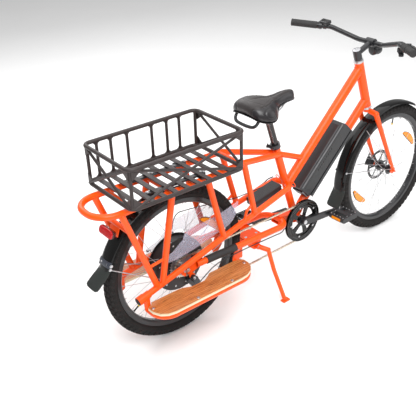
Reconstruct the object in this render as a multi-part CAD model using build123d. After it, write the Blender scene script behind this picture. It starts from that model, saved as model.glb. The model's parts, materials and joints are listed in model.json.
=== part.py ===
from build123d import *
import math
import os

# Cargo bicycle with a long rear rack. Everything is modelled in millimetres from the point on the ground
# below the rear axle (x forward, y to the left, z up) and centred lengthwise on export.

# ---- driving dimensions ----
WHEEL_R = 338.0
TYRE_R = 29.0
RIM_OUT_R = 288.0
RIM_IN_R = 265.0
RIM_W = 32.0
WHEELBASE = 1330.0
AXLE = Vector(0, 0, WHEEL_R)
FRONT_AXLE = Vector(WHEELBASE, 0, WHEEL_R)
BB = Vector(684, 0, 290)
BB_LEN = 68.0
LOOP_REAR_X = -384.7

TUBE_R = 12.7
MAIN_R = 21.0
DOWN_R = 20.0
SEAT_R = 17.45
POST_R = 15.2
HEAD_R = 21.0
WALL = 1.6
FIT = 0.07
GAP = 0.3

SEAT_TILT = 0.3346
SEAT_TOP_Z = 690.0
HEAD_DIR = Vector(-0.342, 0, 0.9397)
HEAD_LOW = Vector(1142.6, 0, 721)
HEAD_LEN = 243.0
FORK_RAKE = 45.0

RAIL_Z = 708.0
RAIL_Y = 92.0
BASKET_X = (-270.0, 244.0)
BASKET_Y = 152.0
BASKET_Z = (740.0, 891.0)
BASKET_ROD = 8.0
BASKET_CORNER = 28.0

BOARD_TOP_Z = 280.0
BOARD_T = 12.0
HOOP_Z = BOARD_TOP_Z - BOARD_T - TUBE_R
HOOP_X = (-210.0, 260.0)
HOOP_Y = 190.0
KICK_PIVOT = Vector(408, 0, 264)

CHAIN_Y = -50.0
RING_TEETH = 46
COG_TEETH = (28, 24, 22, 20, 18, 16, 13)
COG_STEP = 4.9
PITCH = 12.7
PULLEY_TEETH = 11
GUIDE_PULLEY = Vector(30, CHAIN_Y, 262)
TENSION_PULLEY = Vector(66, CHAIN_Y, 205)

BATTERY_LEN = 365.0
BATTERY_DEPTH = (43.0, 134.0)
BATTERY_Y = 45.0

GRIP_END = Vector(975, 342, 1078)


# ---- helpers ----
def rod(start, end, radius):
    """A solid round bar between two points."""
    start, end = Vector(start), Vector(end)
    run = end - start
    return Solid.make_cylinder(radius, run.length, Plane(origin=start, z_dir=run))


def pipe(start, end, radius, wall=WALL):
    return rod(start, end, radius) - rod(start, end, radius - wall)


def bent_bar(points, bends, radius):
    """A solid bar along straight runs joined by tangent arcs."""
    points = [Vector(p) for p in points]
    path = FilletPolyline(*points, radius=bends) if len(points) > 2 else Line(*points)
    section = Plane(origin=points[0], z_dir=points[1] - points[0]) * Circle(radius)
    return sweep(section, path=path)


def bent_pipe(points, bends, radius, wall=WALL):
    return bent_bar(points, bends, radius) - bent_bar(points, bends, radius - wall)


def cope(tube, *neighbours):
    """Cuts the tube's ends to fit round its neighbours and keeps the main piece."""
    for other in neighbours:
        tube = tube - other
    return max(tube.solids(), key=lambda s: s.volume)


def block(centre, size, turn_y=0.0, fillet_r=0.0):
    """A box about its centre, turned about Y, with its corners seen from the side rounded."""
    body = Box(*size)
    if fillet_r:
        body = fillet(body.edges().filter_by(Axis.Y), fillet_r)
    return Pos(*centre) * Rot(0, turn_y, 0) * body


def side_plate(outline, y_low, y_high):
    """A plate in the XZ plane from a closed outline of (x, z) points."""
    face = make_face(Polyline(*[(x, y_low, z) for x, z in outline], close=True))
    return extrude(face, y_high - y_low, dir=(0, 1, 0))


def disc(centre, radius, y_low, y_high, bore=0.0):
    """A disc about a Y axis, with an optional bore."""
    body = rod((centre.X, y_low, centre.Z), (centre.X, y_high, centre.Z), radius)
    if bore:
        body = body - rod((centre.X, y_low - 1, centre.Z), (centre.X, y_high + 1, centre.Z), bore)
    return body


def wheel_turn(outline, centre, arc=360.0):
    """Revolves a closed (y, radius) outline about the wheel's axle."""
    points = [(centre.X, centre.Y + y, centre.Z + r) for y, r in outline]
    face = make_face(Polyline(*points, close=True))
    return revolve(face, Axis(centre, (0, 1, 0)), revolution_arc=arc)


def polar(centre, radius, degrees, y=0.0):
    """A point on a circle about a Y axis; the angle runs from straight back up over the top."""
    a = math.radians(degrees)
    return Vector(centre.X - radius * math.cos(a), y, centre.Z + radius * math.sin(a))


def seat_axis(z):
    return Vector(BB.X - (z - BB.Z) * SEAT_TILT, 0, z)


def main_axis(along, depth=0.0, y=0.0):
    """A point measured along the main tube, and below it towards the front wheel."""
    return Vector(638.4 + 0.712 * along + 0.702 * depth, y, 490.6 + 0.702 * along - 0.712 * depth)


def stay_point(x, side=1):
    """A point on the straight part of a long stay."""
    share = (x + 250) / 840
    return Vector(x, side * (92 - 42 * share), 308 + 186 * share)


def rail_point(x, side=1):
    """A point on a rack rail, which narrows a little towards the front."""
    share = (x + 290) / 600
    return Vector(x, side * (RAIL_Y - 20 * share), RAIL_Z + 3 * share)


def head_axis(along):
    return HEAD_LOW + HEAD_DIR * along


# ---- frame ----
SEAT_BAR = rod(seat_axis(BB.Z), seat_axis(SEAT_TOP_Z), SEAT_R)
MAIN_BAR = rod(main_axis(-22.7), main_axis(608), MAIN_R)
DOWN_POINTS = (BB, main_axis(-30, 159), main_axis(536, 158))
DOWN_BAR = bent_bar(DOWN_POINTS, 150, DOWN_R)
HEAD_BAR = rod(head_axis(0), head_axis(HEAD_LEN), HEAD_R)
BB_BAR = rod((BB.X, -BB_LEN / 2, BB.Z), (BB.X, BB_LEN / 2, BB.Z), 21)
YOKE_POINTS = ((560, 0, 323), (BB.X, 0, 292))
# stepped sockets at the stays' rear ends: x from, x to, outer radius
SLEEVES = ((-196, -222, 15.5), (-222, -250, 18))


def main_frame():
    head = HEAD_BAR - rod(head_axis(-1), head_axis(HEAD_LEN + 1), 17)
    shell = BB_BAR - rod((BB.X, -40, BB.Z), (BB.X, 40, BB.Z), 17.4)
    seat = SEAT_BAR - rod(seat_axis(BB.Z), seat_axis(SEAT_TOP_Z + 1), POST_R + FIT)
    main = pipe(main_axis(-22.7), main_axis(608), MAIN_R)
    down = bent_pipe(DOWN_POINTS, 150, DOWN_R, 2.0)
    brace = pipe(seat_axis(648), main_axis(125), TUBE_R)
    low = seat_axis(SEAT_TOP_Z - 12)
    slot = block((low.X - 18, 0, low.Z), (16, 2.5, 50), 18.5)
    return [
        head,
        shell,
        cope(seat, BB_BAR, slot),
        cope(main, HEAD_BAR, SEAT_BAR),
        cope(down, HEAD_BAR, BB_BAR, SEAT_BAR),
        cope(brace, SEAT_BAR, MAIN_BAR),
    ]


def stay_bar(side, radius=TUBE_R):
    points = (Vector(613, side * 10, 490), Vector(598, side * 48, 494.5), stay_point(-250, side))
    return bent_bar(points, 22, radius)


CHAINSTAY_POINTS = ((48, -75, 341), (573, -68, 322), (573, 68, 322), (48, 75, 341))
CHAINSTAY_BAR = bent_bar(CHAINSTAY_POINTS, 52, 14)


def yoke_box():
    length = (Vector(YOKE_POINTS[1]) - Vector(YOKE_POINTS[0])).length
    outer, inner = Box(length, 46, 40), Box(length + 2, 41, 35)
    middle = (Vector(YOKE_POINTS[0]) + Vector(YOKE_POINTS[1])) * 0.5
    turn = math.degrees(math.atan2(31, 124))
    place = Pos(*middle) * Rot(0, turn, 0)
    return place * outer, place * (outer - inner)


def rear_stays():
    parts = []
    for side in (-1, 1):
        stay = stay_bar(side) - stay_bar(side, TUBE_R - WALL)
        parts.append(cope(stay, SEAT_BAR, MAIN_BAR))
        for start, end, radius in SLEEVES:
            sleeve = rod(stay_point(start, side), stay_point(end, side), radius)
            parts.append(cope(sleeve, stay_bar(side)))
    chainstay = CHAINSTAY_BAR - bent_bar(CHAINSTAY_POINTS, 52, 12)
    parts.append(cope(chainstay))
    parts.append(cope(yoke_box()[1], CHAINSTAY_BAR, BB_BAR, SEAT_BAR, DOWN_BAR))
    return parts


# struts between rack and stay: x on the rail, x on the stay
STRUTS = ((-283, -152), (-54, -128), (117, 198), (309, 378))
CROSSBAR_X = (-228, -54, 117, 296)
CROSSBAR_R = 9.5


def strut_bar(top_x, low_x, side, radius=TUBE_R):
    return rod(rail_point(top_x, side), stay_point(low_x, side), radius)


def rack_struts():
    parts = []
    crossbars = [rod(rail_point(x, -1), rail_point(x, 1), CROSSBAR_R) for x in CROSSBAR_X]
    loop = loop_bar()
    for side in (-1, 1):
        stay, rail = stay_bar(side), rail_bar(side)
        rear = strut_bar(*STRUTS[0], side)
        for top_x, low_x in STRUTS:
            bar = strut_bar(top_x, low_x, side)
            strut = bar - strut_bar(top_x, low_x, side, TUBE_R - WALL)
            cutters = [stay, rail, loop] + crossbars + ([rear] if top_x == STRUTS[1][0] else [])
            parts.append(cope(strut, *cutters))
        parts += small_braces(side, stay)
    return parts


def along_strut(index, side, share):
    top_x, low_x = STRUTS[index]
    top, low = rail_point(top_x, side), stay_point(low_x, side)
    return top + (low - top) * share


def small_braces(side, stay):
    """The short ties: one between the two rear struts, one arched beside the front strut."""
    tie = rod(along_strut(0, side, 0.72), along_strut(1, side, 0.71), 6)
    tie = cope(tie, strut_bar(*STRUTS[0], side), strut_bar(*STRUTS[1], side))
    top = along_strut(3, side, 0.80)
    low = stay_point(316, side)
    elbow = Vector(330, (top.Y + low.Y) / 2, 478)
    arch = bent_bar((top, elbow, low), 18, 6)
    return [tie, cope(arch, strut_bar(*STRUTS[3], side), stay)]


def rail_bar(side, radius=TUBE_R):
    """One side rail with its bend down to the seat tube."""
    return bent_bar((rail_point(-272, side), rail_point(309, side), Vector(562, side * 14, 651)), 60, radius)


def loop_bar(radius=TUBE_R):
    """The rounded end of the rack."""
    loop_x = LOOP_REAR_X + TUBE_R
    corners = (Vector(loop_x, -RAIL_Y, RAIL_Z), Vector(loop_x, RAIL_Y, RAIL_Z))
    return bent_bar((rail_point(-272, -1), *corners, rail_point(-272, 1)), 84, radius)


def rack_rails():
    """The side rails, the round loop behind them, the cross tubes and the tube that carries the light."""
    parts = [loop_bar() - loop_bar(TUBE_R - WALL)]
    rails = [rail_bar(side) for side in (-1, 1)]
    for side, rail in zip((-1, 1), rails):
        parts.append(cope(rail - rail_bar(side, TUBE_R - WALL), SEAT_BAR))
    for x in CROSSBAR_X:
        parts.append(cope(pipe(rail_point(x, -1), rail_point(x, 1), CROSSBAR_R), *rails))
    lamp_bar = pipe(along_strut(0, -1, 0.24), along_strut(0, 1, 0.24), 10)
    parts.append(cope(lamp_bar, *[strut_bar(*STRUTS[0], side) for side in (-1, 1)]))
    return parts + [lamp_tab()]


def lamp_bar_centre():
    point = along_strut(0, 1, 0.24)
    return Vector(point.X, 0, point.Z)


def lamp_tab():
    """The flat tab that hangs from the rear cross tube and carries the light."""
    centre = lamp_bar_centre()
    tab = block((centre.X - 12, 0, centre.Z - 18), (3, 58, 44), 20)
    return cope(tab, rod((centre.X, -60, centre.Z), (centre.X, 60, centre.Z), 10))


def dropout(side):
    """The plate that joins stay, chainstay and axle, with a slot that opens downwards."""
    low, high = (-74, -68) if side < 0 else (68, 74)
    outline = ((-30, 368), (-26, 322), (-12, 308), (26, 312), (92, 330), (92, 350), (44, 356), (14, 370))
    plate = side_plate(outline, low, high)
    slot = rod((0, low - 1, WHEEL_R), (0, high + 1, WHEEL_R), 5.0 + FIT)
    mouth = block((0, (low + high) / 2, 318), (10 + 2 * FIT, 8, 2 * (WHEEL_R - 318)))
    return cope(plate, slot, mouth, stay_bar(side), CHAINSTAY_BAR)


def hanger():
    """The lug below the right dropout that the gear changer bolts to."""
    outline = ((14, 309.5), (26, 311.9), (40, 296), (34, 281), (18, 283), (12, 296))
    return side_plate(outline, -74, -68)


def frame_plates():
    """Dropouts, changer hanger and stand bracket."""
    return [dropout(-1), dropout(1), hanger()] + kickstand_bracket()


def kickstand_bracket():
    """A plate across the chainstays with two cheeks that hold the stand's pivot bolt."""
    plate = block((392, 0, 313), (96, 128, 6))
    cheeks = []
    for side in (-1, 1):
        low, high = (-40, -35) if side < 0 else (35, 40)
        outline = ((356, 310), (440, 310), (436, 280), (414, 246), (396, 248), (362, 276))
        cheek = side_plate(outline, low, high)
        hole = rod((KICK_PIVOT.X, low - 1, KICK_PIVOT.Z), (KICK_PIVOT.X, high + 1, KICK_PIVOT.Z), 6 + FIT)
        cheeks.append(cope(cheek, hole))
    return [cope(plate, CHAINSTAY_BAR)] + cheeks


def chainstay_protector():
    sleeve = rod((98, -74.33, 339.19), (258, -72.21, 333.4), 16.5)
    return [cope(sleeve, CHAINSTAY_BAR)]


def bearing_cups():
    """The bottom bracket's two cups and the headset's two cups."""
    cups = []
    for side in (-1, 1):
        inner, outer = side * BB_LEN / 2, side * (BB_LEN / 2 + 5)
        flange = disc(BB, 22, min(inner, outer), max(inner, outer), 8.5 + FIT)
        cups.append(flange)
    for start, end in ((-11, 0), (HEAD_LEN, HEAD_LEN + 11)):
        cup = rod(head_axis(start), head_axis(end), 22)
        cups.append(cope(cup, rod(head_axis(start - 1), head_axis(end + 1), 14.3 + FIT)))
    return cups


def release_pivot():
    """Where the quick release's lever turns, at the left end of its skewer."""
    back = seat_axis(SEAT_TOP_Z)
    return Vector(back.X - 26, 20, back.Z + 2)


def seat_clamp():
    """The seat tube's clamp ring with its skewer, nut and the pin that the lever turns on."""
    low, high = seat_axis(SEAT_TOP_Z - 8), seat_axis(SEAT_TOP_Z + 12)
    ring = rod(low, high, 22) - rod(seat_axis(SEAT_TOP_Z - 9), seat_axis(SEAT_TOP_Z), SEAT_R)
    ring = ring - rod(low, seat_axis(SEAT_TOP_Z + 13), POST_R + FIT)
    back = seat_axis(SEAT_TOP_Z)
    ears = block((back.X - 25, 0, back.Z + 2), (14, 24, 14), 18.5)
    split = block((back.X - 24, 0, back.Z + 2), (24, 3, 40), 18.5)
    clamp = ring + cope(ears, rod(seat_axis(SEAT_TOP_Z - 20), seat_axis(SEAT_TOP_Z + 20), 21.9)) - split
    pivot = release_pivot()
    skewer = rod((pivot.X, -22, pivot.Z), (pivot.X, 15, pivot.Z), 3)
    nut = rod((pivot.X, -20, pivot.Z), (pivot.X, -12, pivot.Z), 7)
    eye = rod(pivot - Vector(0, 0, 3), pivot + Vector(0, 0, 3), 5.5)
    pin = rod(pivot - Vector(0, 0, 9), pivot + Vector(0, 0, 9), 2.5)
    return [(clamp + skewer + nut + eye + pin).solids()[0]]


def seat_release_lever():
    """The lever: two cam cheeks round the skewer's eye and an arm that points back when closed."""
    pivot = release_pivot()
    cheeks = [rod(pivot + Vector(0, 0, z), pivot + Vector(0, 0, z + 4.4), 7) for z in (-7.7, 3.3)]
    arm = Pos(pivot.X - 29, pivot.Y + 1, pivot.Z) * Box(44, 6, 11)
    arm = arm - rod(pivot - Vector(0, 0, 20), pivot + Vector(0, 0, 20), 6.9)
    bore = rod(pivot - Vector(0, 0, 20), pivot + Vector(0, 0, 20), 2.5 + FIT)
    return [cope(cheeks[0] + cheeks[1] + arm, bore)]


def battery_rail():
    """A channel on the down tube that carries the battery and hides the tube behind its sides."""
    middle = main_axis(BATTERY_LEN / 2 + 4, 138)
    base = block(middle, (BATTERY_LEN - 8, 86, 5), -44.6)
    walls = [block(main_axis(BATTERY_LEN / 2 + 4, 142.5, s * 44.5), (BATTERY_LEN - 8, 3, 16), -44.6)
             for s in (-1, 1)]
    foot = block(main_axis(-4.5, 112), (7, 60, 50), -44.6)
    tail = block(main_axis(60, 138.5), (60, 30, 6), -44.6)
    return [cope(base + walls[0] + walls[1], DOWN_BAR), cope(foot, DOWN_BAR, tail)]


def battery():
    middle = main_axis(BATTERY_LEN / 2, sum(BATTERY_DEPTH) / 2)
    depth = BATTERY_DEPTH[1] - BATTERY_DEPTH[0]
    case = Box(BATTERY_LEN, 2 * BATTERY_Y, depth)
    case = fillet(case.edges().filter_by(Axis.X), 9)
    nose = Pos(BATTERY_LEN / 2, 0, depth / 2) * Rot(0, 35, 0) * Box(46, 120, 60)
    return [cope(Pos(*middle) * Rot(0, -44.6, 0) * (case - nose))]


def controller_box():
    """The ribbed motor controller between the long stays, behind the seat tube."""
    case = Box(150, 62, 34)
    case = fillet(case.edges().filter_by(Axis.X), 4)
    for y in range(-24, 25, 8):
        case = case - Pos(0, y, 18) * Box(160, 3, 5)
    return [Pos(488, 0, 478) * Rot(0, -12.5, 0) * case]


# ---- wheels ----
def tyre(centre):
    torus_r = WHEEL_R - TYRE_R
    place = Pos(*centre) * Rot(90, 0, 0)
    body = place * (Torus(torus_r, TYRE_R) - Torus(torus_r, TYRE_R - 4))
    bed = disc(centre, RIM_OUT_R, -RIM_W / 2, RIM_W / 2)
    return [cope(body, bed)]


def rim(centre):
    half = RIM_W / 2
    outline = (
        (-half, RIM_OUT_R), (-half, RIM_IN_R + 7), (-9, RIM_IN_R), (9, RIM_IN_R), (half, RIM_IN_R + 7),
        (half, RIM_OUT_R), (half - 2.4, RIM_OUT_R), (half - 2.4, 276), (-half + 2.4, 276),
        (-half + 2.4, RIM_OUT_R))
    return [wheel_turn(outline, centre).solids()[0]]


def spokes(centre, hub_r, flange_y, count=36, lean=12.0):
    """Crossed spokes from both hub flanges to the rim."""
    bars = []
    for i in range(count):
        side = 1 if i % 2 else -1
        turn = lean if (i // 2) % 2 else -lean
        step = 360.0 / count * i
        start = polar(centre, hub_r, step + turn, side * flange_y)
        end = polar(centre, RIM_IN_R - GAP, step, side * 2.0)
        bars.append(rod(start, end, 1.0))
    return bars


def hub_motor():
    body = disc(AXLE, 112, -24, 28)
    for side, face in ((-1, -24), (1, 28)):
        rim_low = min(face, face - side * 4)
        body = body + disc(AXLE, 119, rim_low, rim_low + 4)
    left_boss = disc(AXLE, 22, 28, 56)
    right_boss = disc(AXLE, 16, -33, -24)
    body = body + left_boss + right_boss
    return [cope(body, rod((0, -100, WHEEL_R), (0, 100, WHEEL_R), 5 + FIT))]


def rear_rotor():
    """The brake disc with its arms, bolted to the motor's left boss."""
    ring = disc(AXLE, 90, 48, 50, 74)
    carrier = disc(AXLE, 34, 48, 50, 22)
    arms = [Pos(*AXLE) * Rot(0, a, 0) * Pos(54, 49, 0) * Box(46, 2, 9) for a in range(0, 360, 60)]
    for arm in arms:
        ring = ring + arm
    return [cope(ring + carrier)]


def toothed(centre, teeth, y_low, y_high, bore):
    """A sprocket: a disc with one short tooth a pitch."""
    root = PITCH / (2 * math.sin(math.pi / teeth)) - 4.0
    body = disc(centre, root, y_low, y_high, bore)
    middle = (y_low + y_high) / 2
    for i in range(teeth):
        angle = 360.0 / teeth * i
        tooth = Pos(root + 1.5, 0, 0) * Box(6.5, y_high - y_low, 4.2)
        tooth = Pos(centre.X, middle, centre.Z) * Rot(0, angle, 0) * tooth
        body = body + tooth
    return cope(body)


def freewheel():
    """Seven cogs on one body that turns freely on the motor's right end."""
    stack = None
    for i, teeth in enumerate(COG_TEETH):
        y = CHAIN_Y + COG_STEP * (3 - i)
        cog = toothed(AXLE, teeth, y - 1, y + 1, 17)
        stack = cog if stack is None else stack + cog
    body = disc(AXLE, 20, -65.5, -34, 5 + FIT)
    return [cope(stack + body)]


def rear_axle():
    """The motor's axle with its washers and nuts, fixed in the dropouts."""
    shaft = rod((0, -88, WHEEL_R), (0, 88, WHEEL_R), 5.0)
    parts = [shaft]
    for side in (-1, 1):
        inner, outer = sorted((side * 74, side * 84))
        nut = Pos(0, inner, WHEEL_R) * Rot(-90, 0, 0) * extrude(RegularPolygon(9.5, 6), 10)
        nut = cope(nut, shaft, stay_bar(side))
        parts.append(nut)
        stop_low, stop_high = sorted((side * 66.5, side * 68))
        parts.append(disc(AXLE, 8.5, stop_low, stop_high, 5.0))
    return parts


# ---- drivetrain ----
def pitch_radius(teeth):
    return PITCH / (2 * math.sin(math.pi / teeth))


def chain_stops():
    """The chain's wheels in running order: centre, pitch radius, and +1 where it runs clockwise."""
    ring = Vector(BB.X, CHAIN_Y, BB.Z)
    cog = Vector(0, CHAIN_Y, WHEEL_R)
    pulley = pitch_radius(PULLEY_TEETH)
    return (
        (cog, pitch_radius(COG_TEETH[3]), 1),
        (ring, pitch_radius(RING_TEETH), 1),
        (TENSION_PULLEY, pulley, 1),
        (GUIDE_PULLEY, pulley, -1),
    )


def tangent(a, b):
    """The straight run of chain from wheel a to wheel b, as two (x, z) points."""
    (ca, ra, sa), (cb, rb, sb) = a, b
    dx, dz = cb.X - ca.X, cb.Z - ca.Z
    span = math.hypot(dx, dz)
    heading = math.atan2(dz, dx) - math.asin((ra * sa - rb * sb) / span)
    left = (-math.sin(heading), math.cos(heading))
    start = (ca.X + ra * sa * left[0], ca.Z + ra * sa * left[1])
    end = (cb.X + rb * sb * left[0], cb.Z + rb * sb * left[1])
    return start, end


def strip(a, b, y_low, y_high, height):
    """A straight strip along a run."""
    (ax, az), (bx, bz) = a, b
    turn = -math.degrees(math.atan2(bz - az, bx - ax))
    length = math.hypot(bx - ax, bz - az)
    centre = ((ax + bx) / 2, (y_low + y_high) / 2, (az + bz) / 2)
    return Pos(*centre) * Rot(0, turn, 0) * Box(length, y_high - y_low, height)


def wrap(centre, radius, start, end, clockwise, y_low, y_high, height):
    """The arc of chain round a wheel between two contact points."""
    a0 = math.degrees(math.atan2(start[1] - centre.Z, start[0] - centre.X))
    a1 = math.degrees(math.atan2(end[1] - centre.Z, end[0] - centre.X))
    sweep_angle = (a0 - a1) % 360 if clockwise > 0 else (a1 - a0) % 360
    low_angle = a1 if clockwise > 0 else a0
    outline = [(radius - height / 2, y_low), (radius + height / 2, y_low),
               (radius + height / 2, y_high), (radius - height / 2, y_high)]
    face = make_face(Polyline(*[(r, y, 0) for r, y in outline], close=True))
    ring = revolve(face, Axis((0, 0, 0), (0, -1, 0)), revolution_arc=sweep_angle)
    return Pos(centre.X, 0, centre.Z) * Rot(0, -low_angle, 0) * ring


def chain():
    """The chain as two side bands, tied together along its free runs."""
    stops = chain_stops()
    runs = [tangent(stops[i], stops[(i + 1) % 4]) for i in range(4)]
    body = None
    for low, high in ((CHAIN_Y - 3.6, CHAIN_Y - 2.2), (CHAIN_Y + 2.2, CHAIN_Y + 3.6)):
        for i, (centre, radius, sense) in enumerate(stops):
            piece = wrap(centre, radius, runs[i - 1][1], runs[i][0], sense, low, high, 8.4)
            body = piece if body is None else body + piece
        for a, b in runs:
            body = body + strip(a, b, low, high, 8.4)
    for (ax, az), (bx, bz) in runs[:2]:
        inset = 34 / math.hypot(bx - ax, bz - az)
        a = (ax + (bx - ax) * inset, az + (bz - az) * inset)
        b = (bx - (bx - ax) * inset, bz - (bz - az) * inset)
        body = body + strip(a, b, CHAIN_Y - 2.6, CHAIN_Y + 2.6, 4)
    return [cope(body)]


def chainring():
    ring = Vector(BB.X, 0, BB.Z)
    body = toothed(ring, RING_TEETH, CHAIN_Y - 1, CHAIN_Y + 1, 74)
    for i in range(5):
        arm = Pos(BB.X, CHAIN_Y, BB.Z) * Rot(0, 72 * i, 0) * Pos(50, 0, 0) * Box(56, 2, 16)
        body = body + arm
    return [cope(body + disc(ring, 26, CHAIN_Y - 1, CHAIN_Y + 1, 9.5))]


def chain_guard():
    """The two guard rings, one each side of the chainring, on five bosses."""
    outer = disc(BB, 104, CHAIN_Y - 7.5, CHAIN_Y - 5, 74)
    inner = disc(BB, 103, CHAIN_Y + 5, CHAIN_Y + 7, 78)
    for i in range(5):
        spot = polar(BB, 78.5, 72 * i)
        outer = outer + rod((spot.X, CHAIN_Y - 7.5, spot.Z), (spot.X, CHAIN_Y - 1, spot.Z), 5)
        inner = inner + rod((spot.X, CHAIN_Y + 1, spot.Z), (spot.X, CHAIN_Y + 7, spot.Z), 5)
    return [outer.solids()[0], inner.solids()[0]]


CRANK_LEN = 170.0
CRANK_TILT = 2.0


def crank_arm(side):
    """One crank arm, which flares outwards to clear the chainstay: right one forward, left one back."""
    root = (58.2, 74) if side < 0 else (52, 68)
    tip = (88, 101)
    corners = ((-17, root[0]), (0, root[0]), (CRANK_LEN, tip[0]), (CRANK_LEN + 14, tip[0]),
               (CRANK_LEN + 14, tip[1]), (CRANK_LEN, tip[1]), (0, root[1]), (-17, root[1]))
    flat = make_face(Polyline(*[(x, side * y, -20) for x, y in corners], close=True))
    bar = extrude(flat, 40, dir=(0, 0, 1))
    outline = side_plate(((0, 17), (CRANK_LEN, 12), (CRANK_LEN, -12), (0, -17)), -110, 110)
    ends = rod((0, -110, 0), (0, 110, 0), 17) + rod((CRANK_LEN, -110, 0), (CRANK_LEN, 110, 0), 14)
    arm = (bar & (outline + ends)) - rod((CRANK_LEN, -110, 0), (CRANK_LEN, 110, 0), 7 + FIT)
    turn = -CRANK_TILT if side < 0 else 180 - CRANK_TILT
    return Pos(*BB) * Rot(0, turn, 0) * arm


def crank_eye(side):
    tilt = math.radians(CRANK_TILT)
    return Vector(BB.X - side * CRANK_LEN * math.cos(tilt), 0, BB.Z - side * CRANK_LEN * math.sin(tilt))


def crank_arms():
    """Both arms on one spindle, with the spider that carries the chainring."""
    spindle = rod((BB.X, -72, BB.Z), (BB.X, 66, BB.Z), 8.5)
    spider = disc(BB, 24, -58.2, CHAIN_Y - 1)
    return [(crank_arm(-1) + crank_arm(1) + spindle + spider).solids()[0]]


def pedal(side):
    """A platform pedal with its axle, centred on the crank's eye."""
    eye = crank_eye(side)
    axle = rod((eye.X, side * 88, eye.Z), (eye.X, side * 186, eye.Z), 7)
    boss = disc(eye, 10, *sorted((side * 101.4, side * 112)))
    platform = block((eye.X, side * 149, eye.Z), (98, 88, 26), 0, 9)
    for x in (-27, 27):
        platform = platform - Pos(eye.X + x, side * 149, eye.Z) * Box(30, 66, 40)
    return [(platform + axle + boss).solids()[0]]


def pulley(centre):
    body = toothed(centre, PULLEY_TEETH, CHAIN_Y - 1, CHAIN_Y + 1, 4 + FIT)
    return [body]


def derailleur():
    """The gear changer: hanger bolt and knuckles, linkage, and the cage with its two pulley pins."""
    upper = rod((26, -88, 290), (26, -74.3, 290), 11)
    link = block((36, -84, 274), (22, 14, 40), -28, 4)
    body = upper + link
    outline = ((12, 268), (30, 284), (46, 262), (86, 208), (76, 188), (56, 190), (44, 214))
    outer = side_plate(outline, -60, -57)
    inner = side_plate(outline, -43, -40)
    knuckle = rod((40, -82, 262), (40, -60, 262), 9)
    parts = [(body + knuckle + outer).solids()[0], inner]
    for spot in (GUIDE_PULLEY, TENSION_PULLEY):
        parts.append(rod((spot.X, -57, spot.Z), (spot.X, -43, spot.Z), 4))
    return parts


# ---- brakes ----
REAR_CALIPER_ANGLE = 128.0


def caliper(centre, angle, y_mid, reach=84, width=36):
    """A disc caliper that straddles the brake disc, with the pin its lever turns on."""
    spot = polar(centre, reach, angle)
    body = Pos(spot.X, y_mid, spot.Z) * Rot(0, angle, 0) * Box(36, width, 46)
    body = fillet(body.edges().filter_by(Axis.Y), 8)
    outer = y_mid + width / 2
    pin = rod((spot.X, outer - 1, spot.Z), (spot.X, outer + 8, spot.Z), 3)
    slot = disc(centre, 94, y_mid - 2.6, y_mid + 2.6)
    return cope(body + pin, slot), spot


def rear_caliper():
    body, _ = caliper(AXLE, REAR_CALIPER_ANGLE, 49, width=30)
    return [cope(body, stay_bar(1))]


# ---- stand, boards ----
def kickstand_leg(side):
    knee = Vector(437, side * 86, 250)
    elbow = Vector(446, side * 116, 152)
    foot = Vector(469, side * 166, 7)
    leg = bent_bar((knee, elbow, foot), 60, 9.5)
    arm = rod((KICK_PIVOT.X, side * 53, KICK_PIVOT.Z), (437, side * 86, 250), 11)
    pad = block((471, side * 168, 4), (40, 22, 8), 0, 3)
    return (leg + arm + Pos(437, side * 86, 250) * Sphere(11) + pad).solids()[0]


def kickstand():
    """The double-leg stand on its pivot tube."""
    barrel = rod((KICK_PIVOT.X, -48, KICK_PIVOT.Z), (KICK_PIVOT.X, 48, KICK_PIVOT.Z), 6)
    hub = rod((KICK_PIVOT.X, -34.5, KICK_PIVOT.Z), (KICK_PIVOT.X, 34.5, KICK_PIVOT.Z), 12)
    body = barrel + hub
    for side in (-1, 1):
        body = body + disc(KICK_PIVOT, 13, *sorted((side * 40.5, side * 56)))
        body = body + kickstand_leg(side)
    return [body.solids()[0]]


def board_hoops():
    """The bent tubes under the boards, their rear posts and their front mounting plates."""
    parts = []
    for side in (-1, 1):
        post = rod((HOOP_X[0], side * 94, HOOP_Z), stay_point(HOOP_X[0], side), TUBE_R)
        path = ((HOOP_X[0], side * 92, HOOP_Z), (HOOP_X[0], side * HOOP_Y, HOOP_Z),
                (HOOP_X[1], side * HOOP_Y, HOOP_Z), (HOOP_X[1], side * 70, HOOP_Z))
        hoop = bent_bar(path, 66, TUBE_R)
        sleeves = [rod(stay_point(a, side), stay_point(b, side), r) for a, b, r in SLEEVES]
        parts.append(cope(hoop - bent_bar(path, 66, TUBE_R - WALL), post))
        parts.append(cope(post, stay_bar(side), *sleeves))
        outline = ((262, 326), (298, 322), (298, 270), (276, 244), (246, 244), (246, 280))
        plate = side_plate(outline, *sorted((side * 66, side * 71)))
        parts.append(cope(plate, CHAINSTAY_BAR, hoop))
    return parts


BOARD_OUTLINE = (
    (-194, 95), (-80, 95), (-46, 98), (-10, 115), (52, 117), (72, 107), (90, 96), (100, 88), (236, 86),
    (262, 91), (275, 108), (275, 136), (264, 163), (246, 184), (214, 200), (180, 204), (-150, 204),
    (-182, 198), (-208, 179), (-222, 148), (-223, 118), (-211, 109), (-198, 105))
BOARD_BOLTS = ((-209, 131), (-36, 192), (139, 190), (260, 126))
BOLT_HEAD = 3.0


def running_boards():
    """Wooden boards whose inner edge steps out to clear the gears; the bolt heads lie in counterbores."""
    boards = []
    low, seat = BOARD_TOP_Z - BOARD_T, BOARD_TOP_Z - BOLT_HEAD
    for side in (-1, 1):
        points = [(x, side * y, low) for x, y in BOARD_OUTLINE]
        board = extrude(make_face(Polyline(*points, close=True)), BOARD_T, dir=(0, 0, 1))
        for x, y in BOARD_BOLTS:
            board = board - rod((x, side * y, low - 1), (x, side * y, seat + 1), 3)
            board = board - rod((x, side * y, seat), (x, side * y, BOARD_TOP_Z + 1), 5)
        boards.append(cope(board))
    return boards


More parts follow.
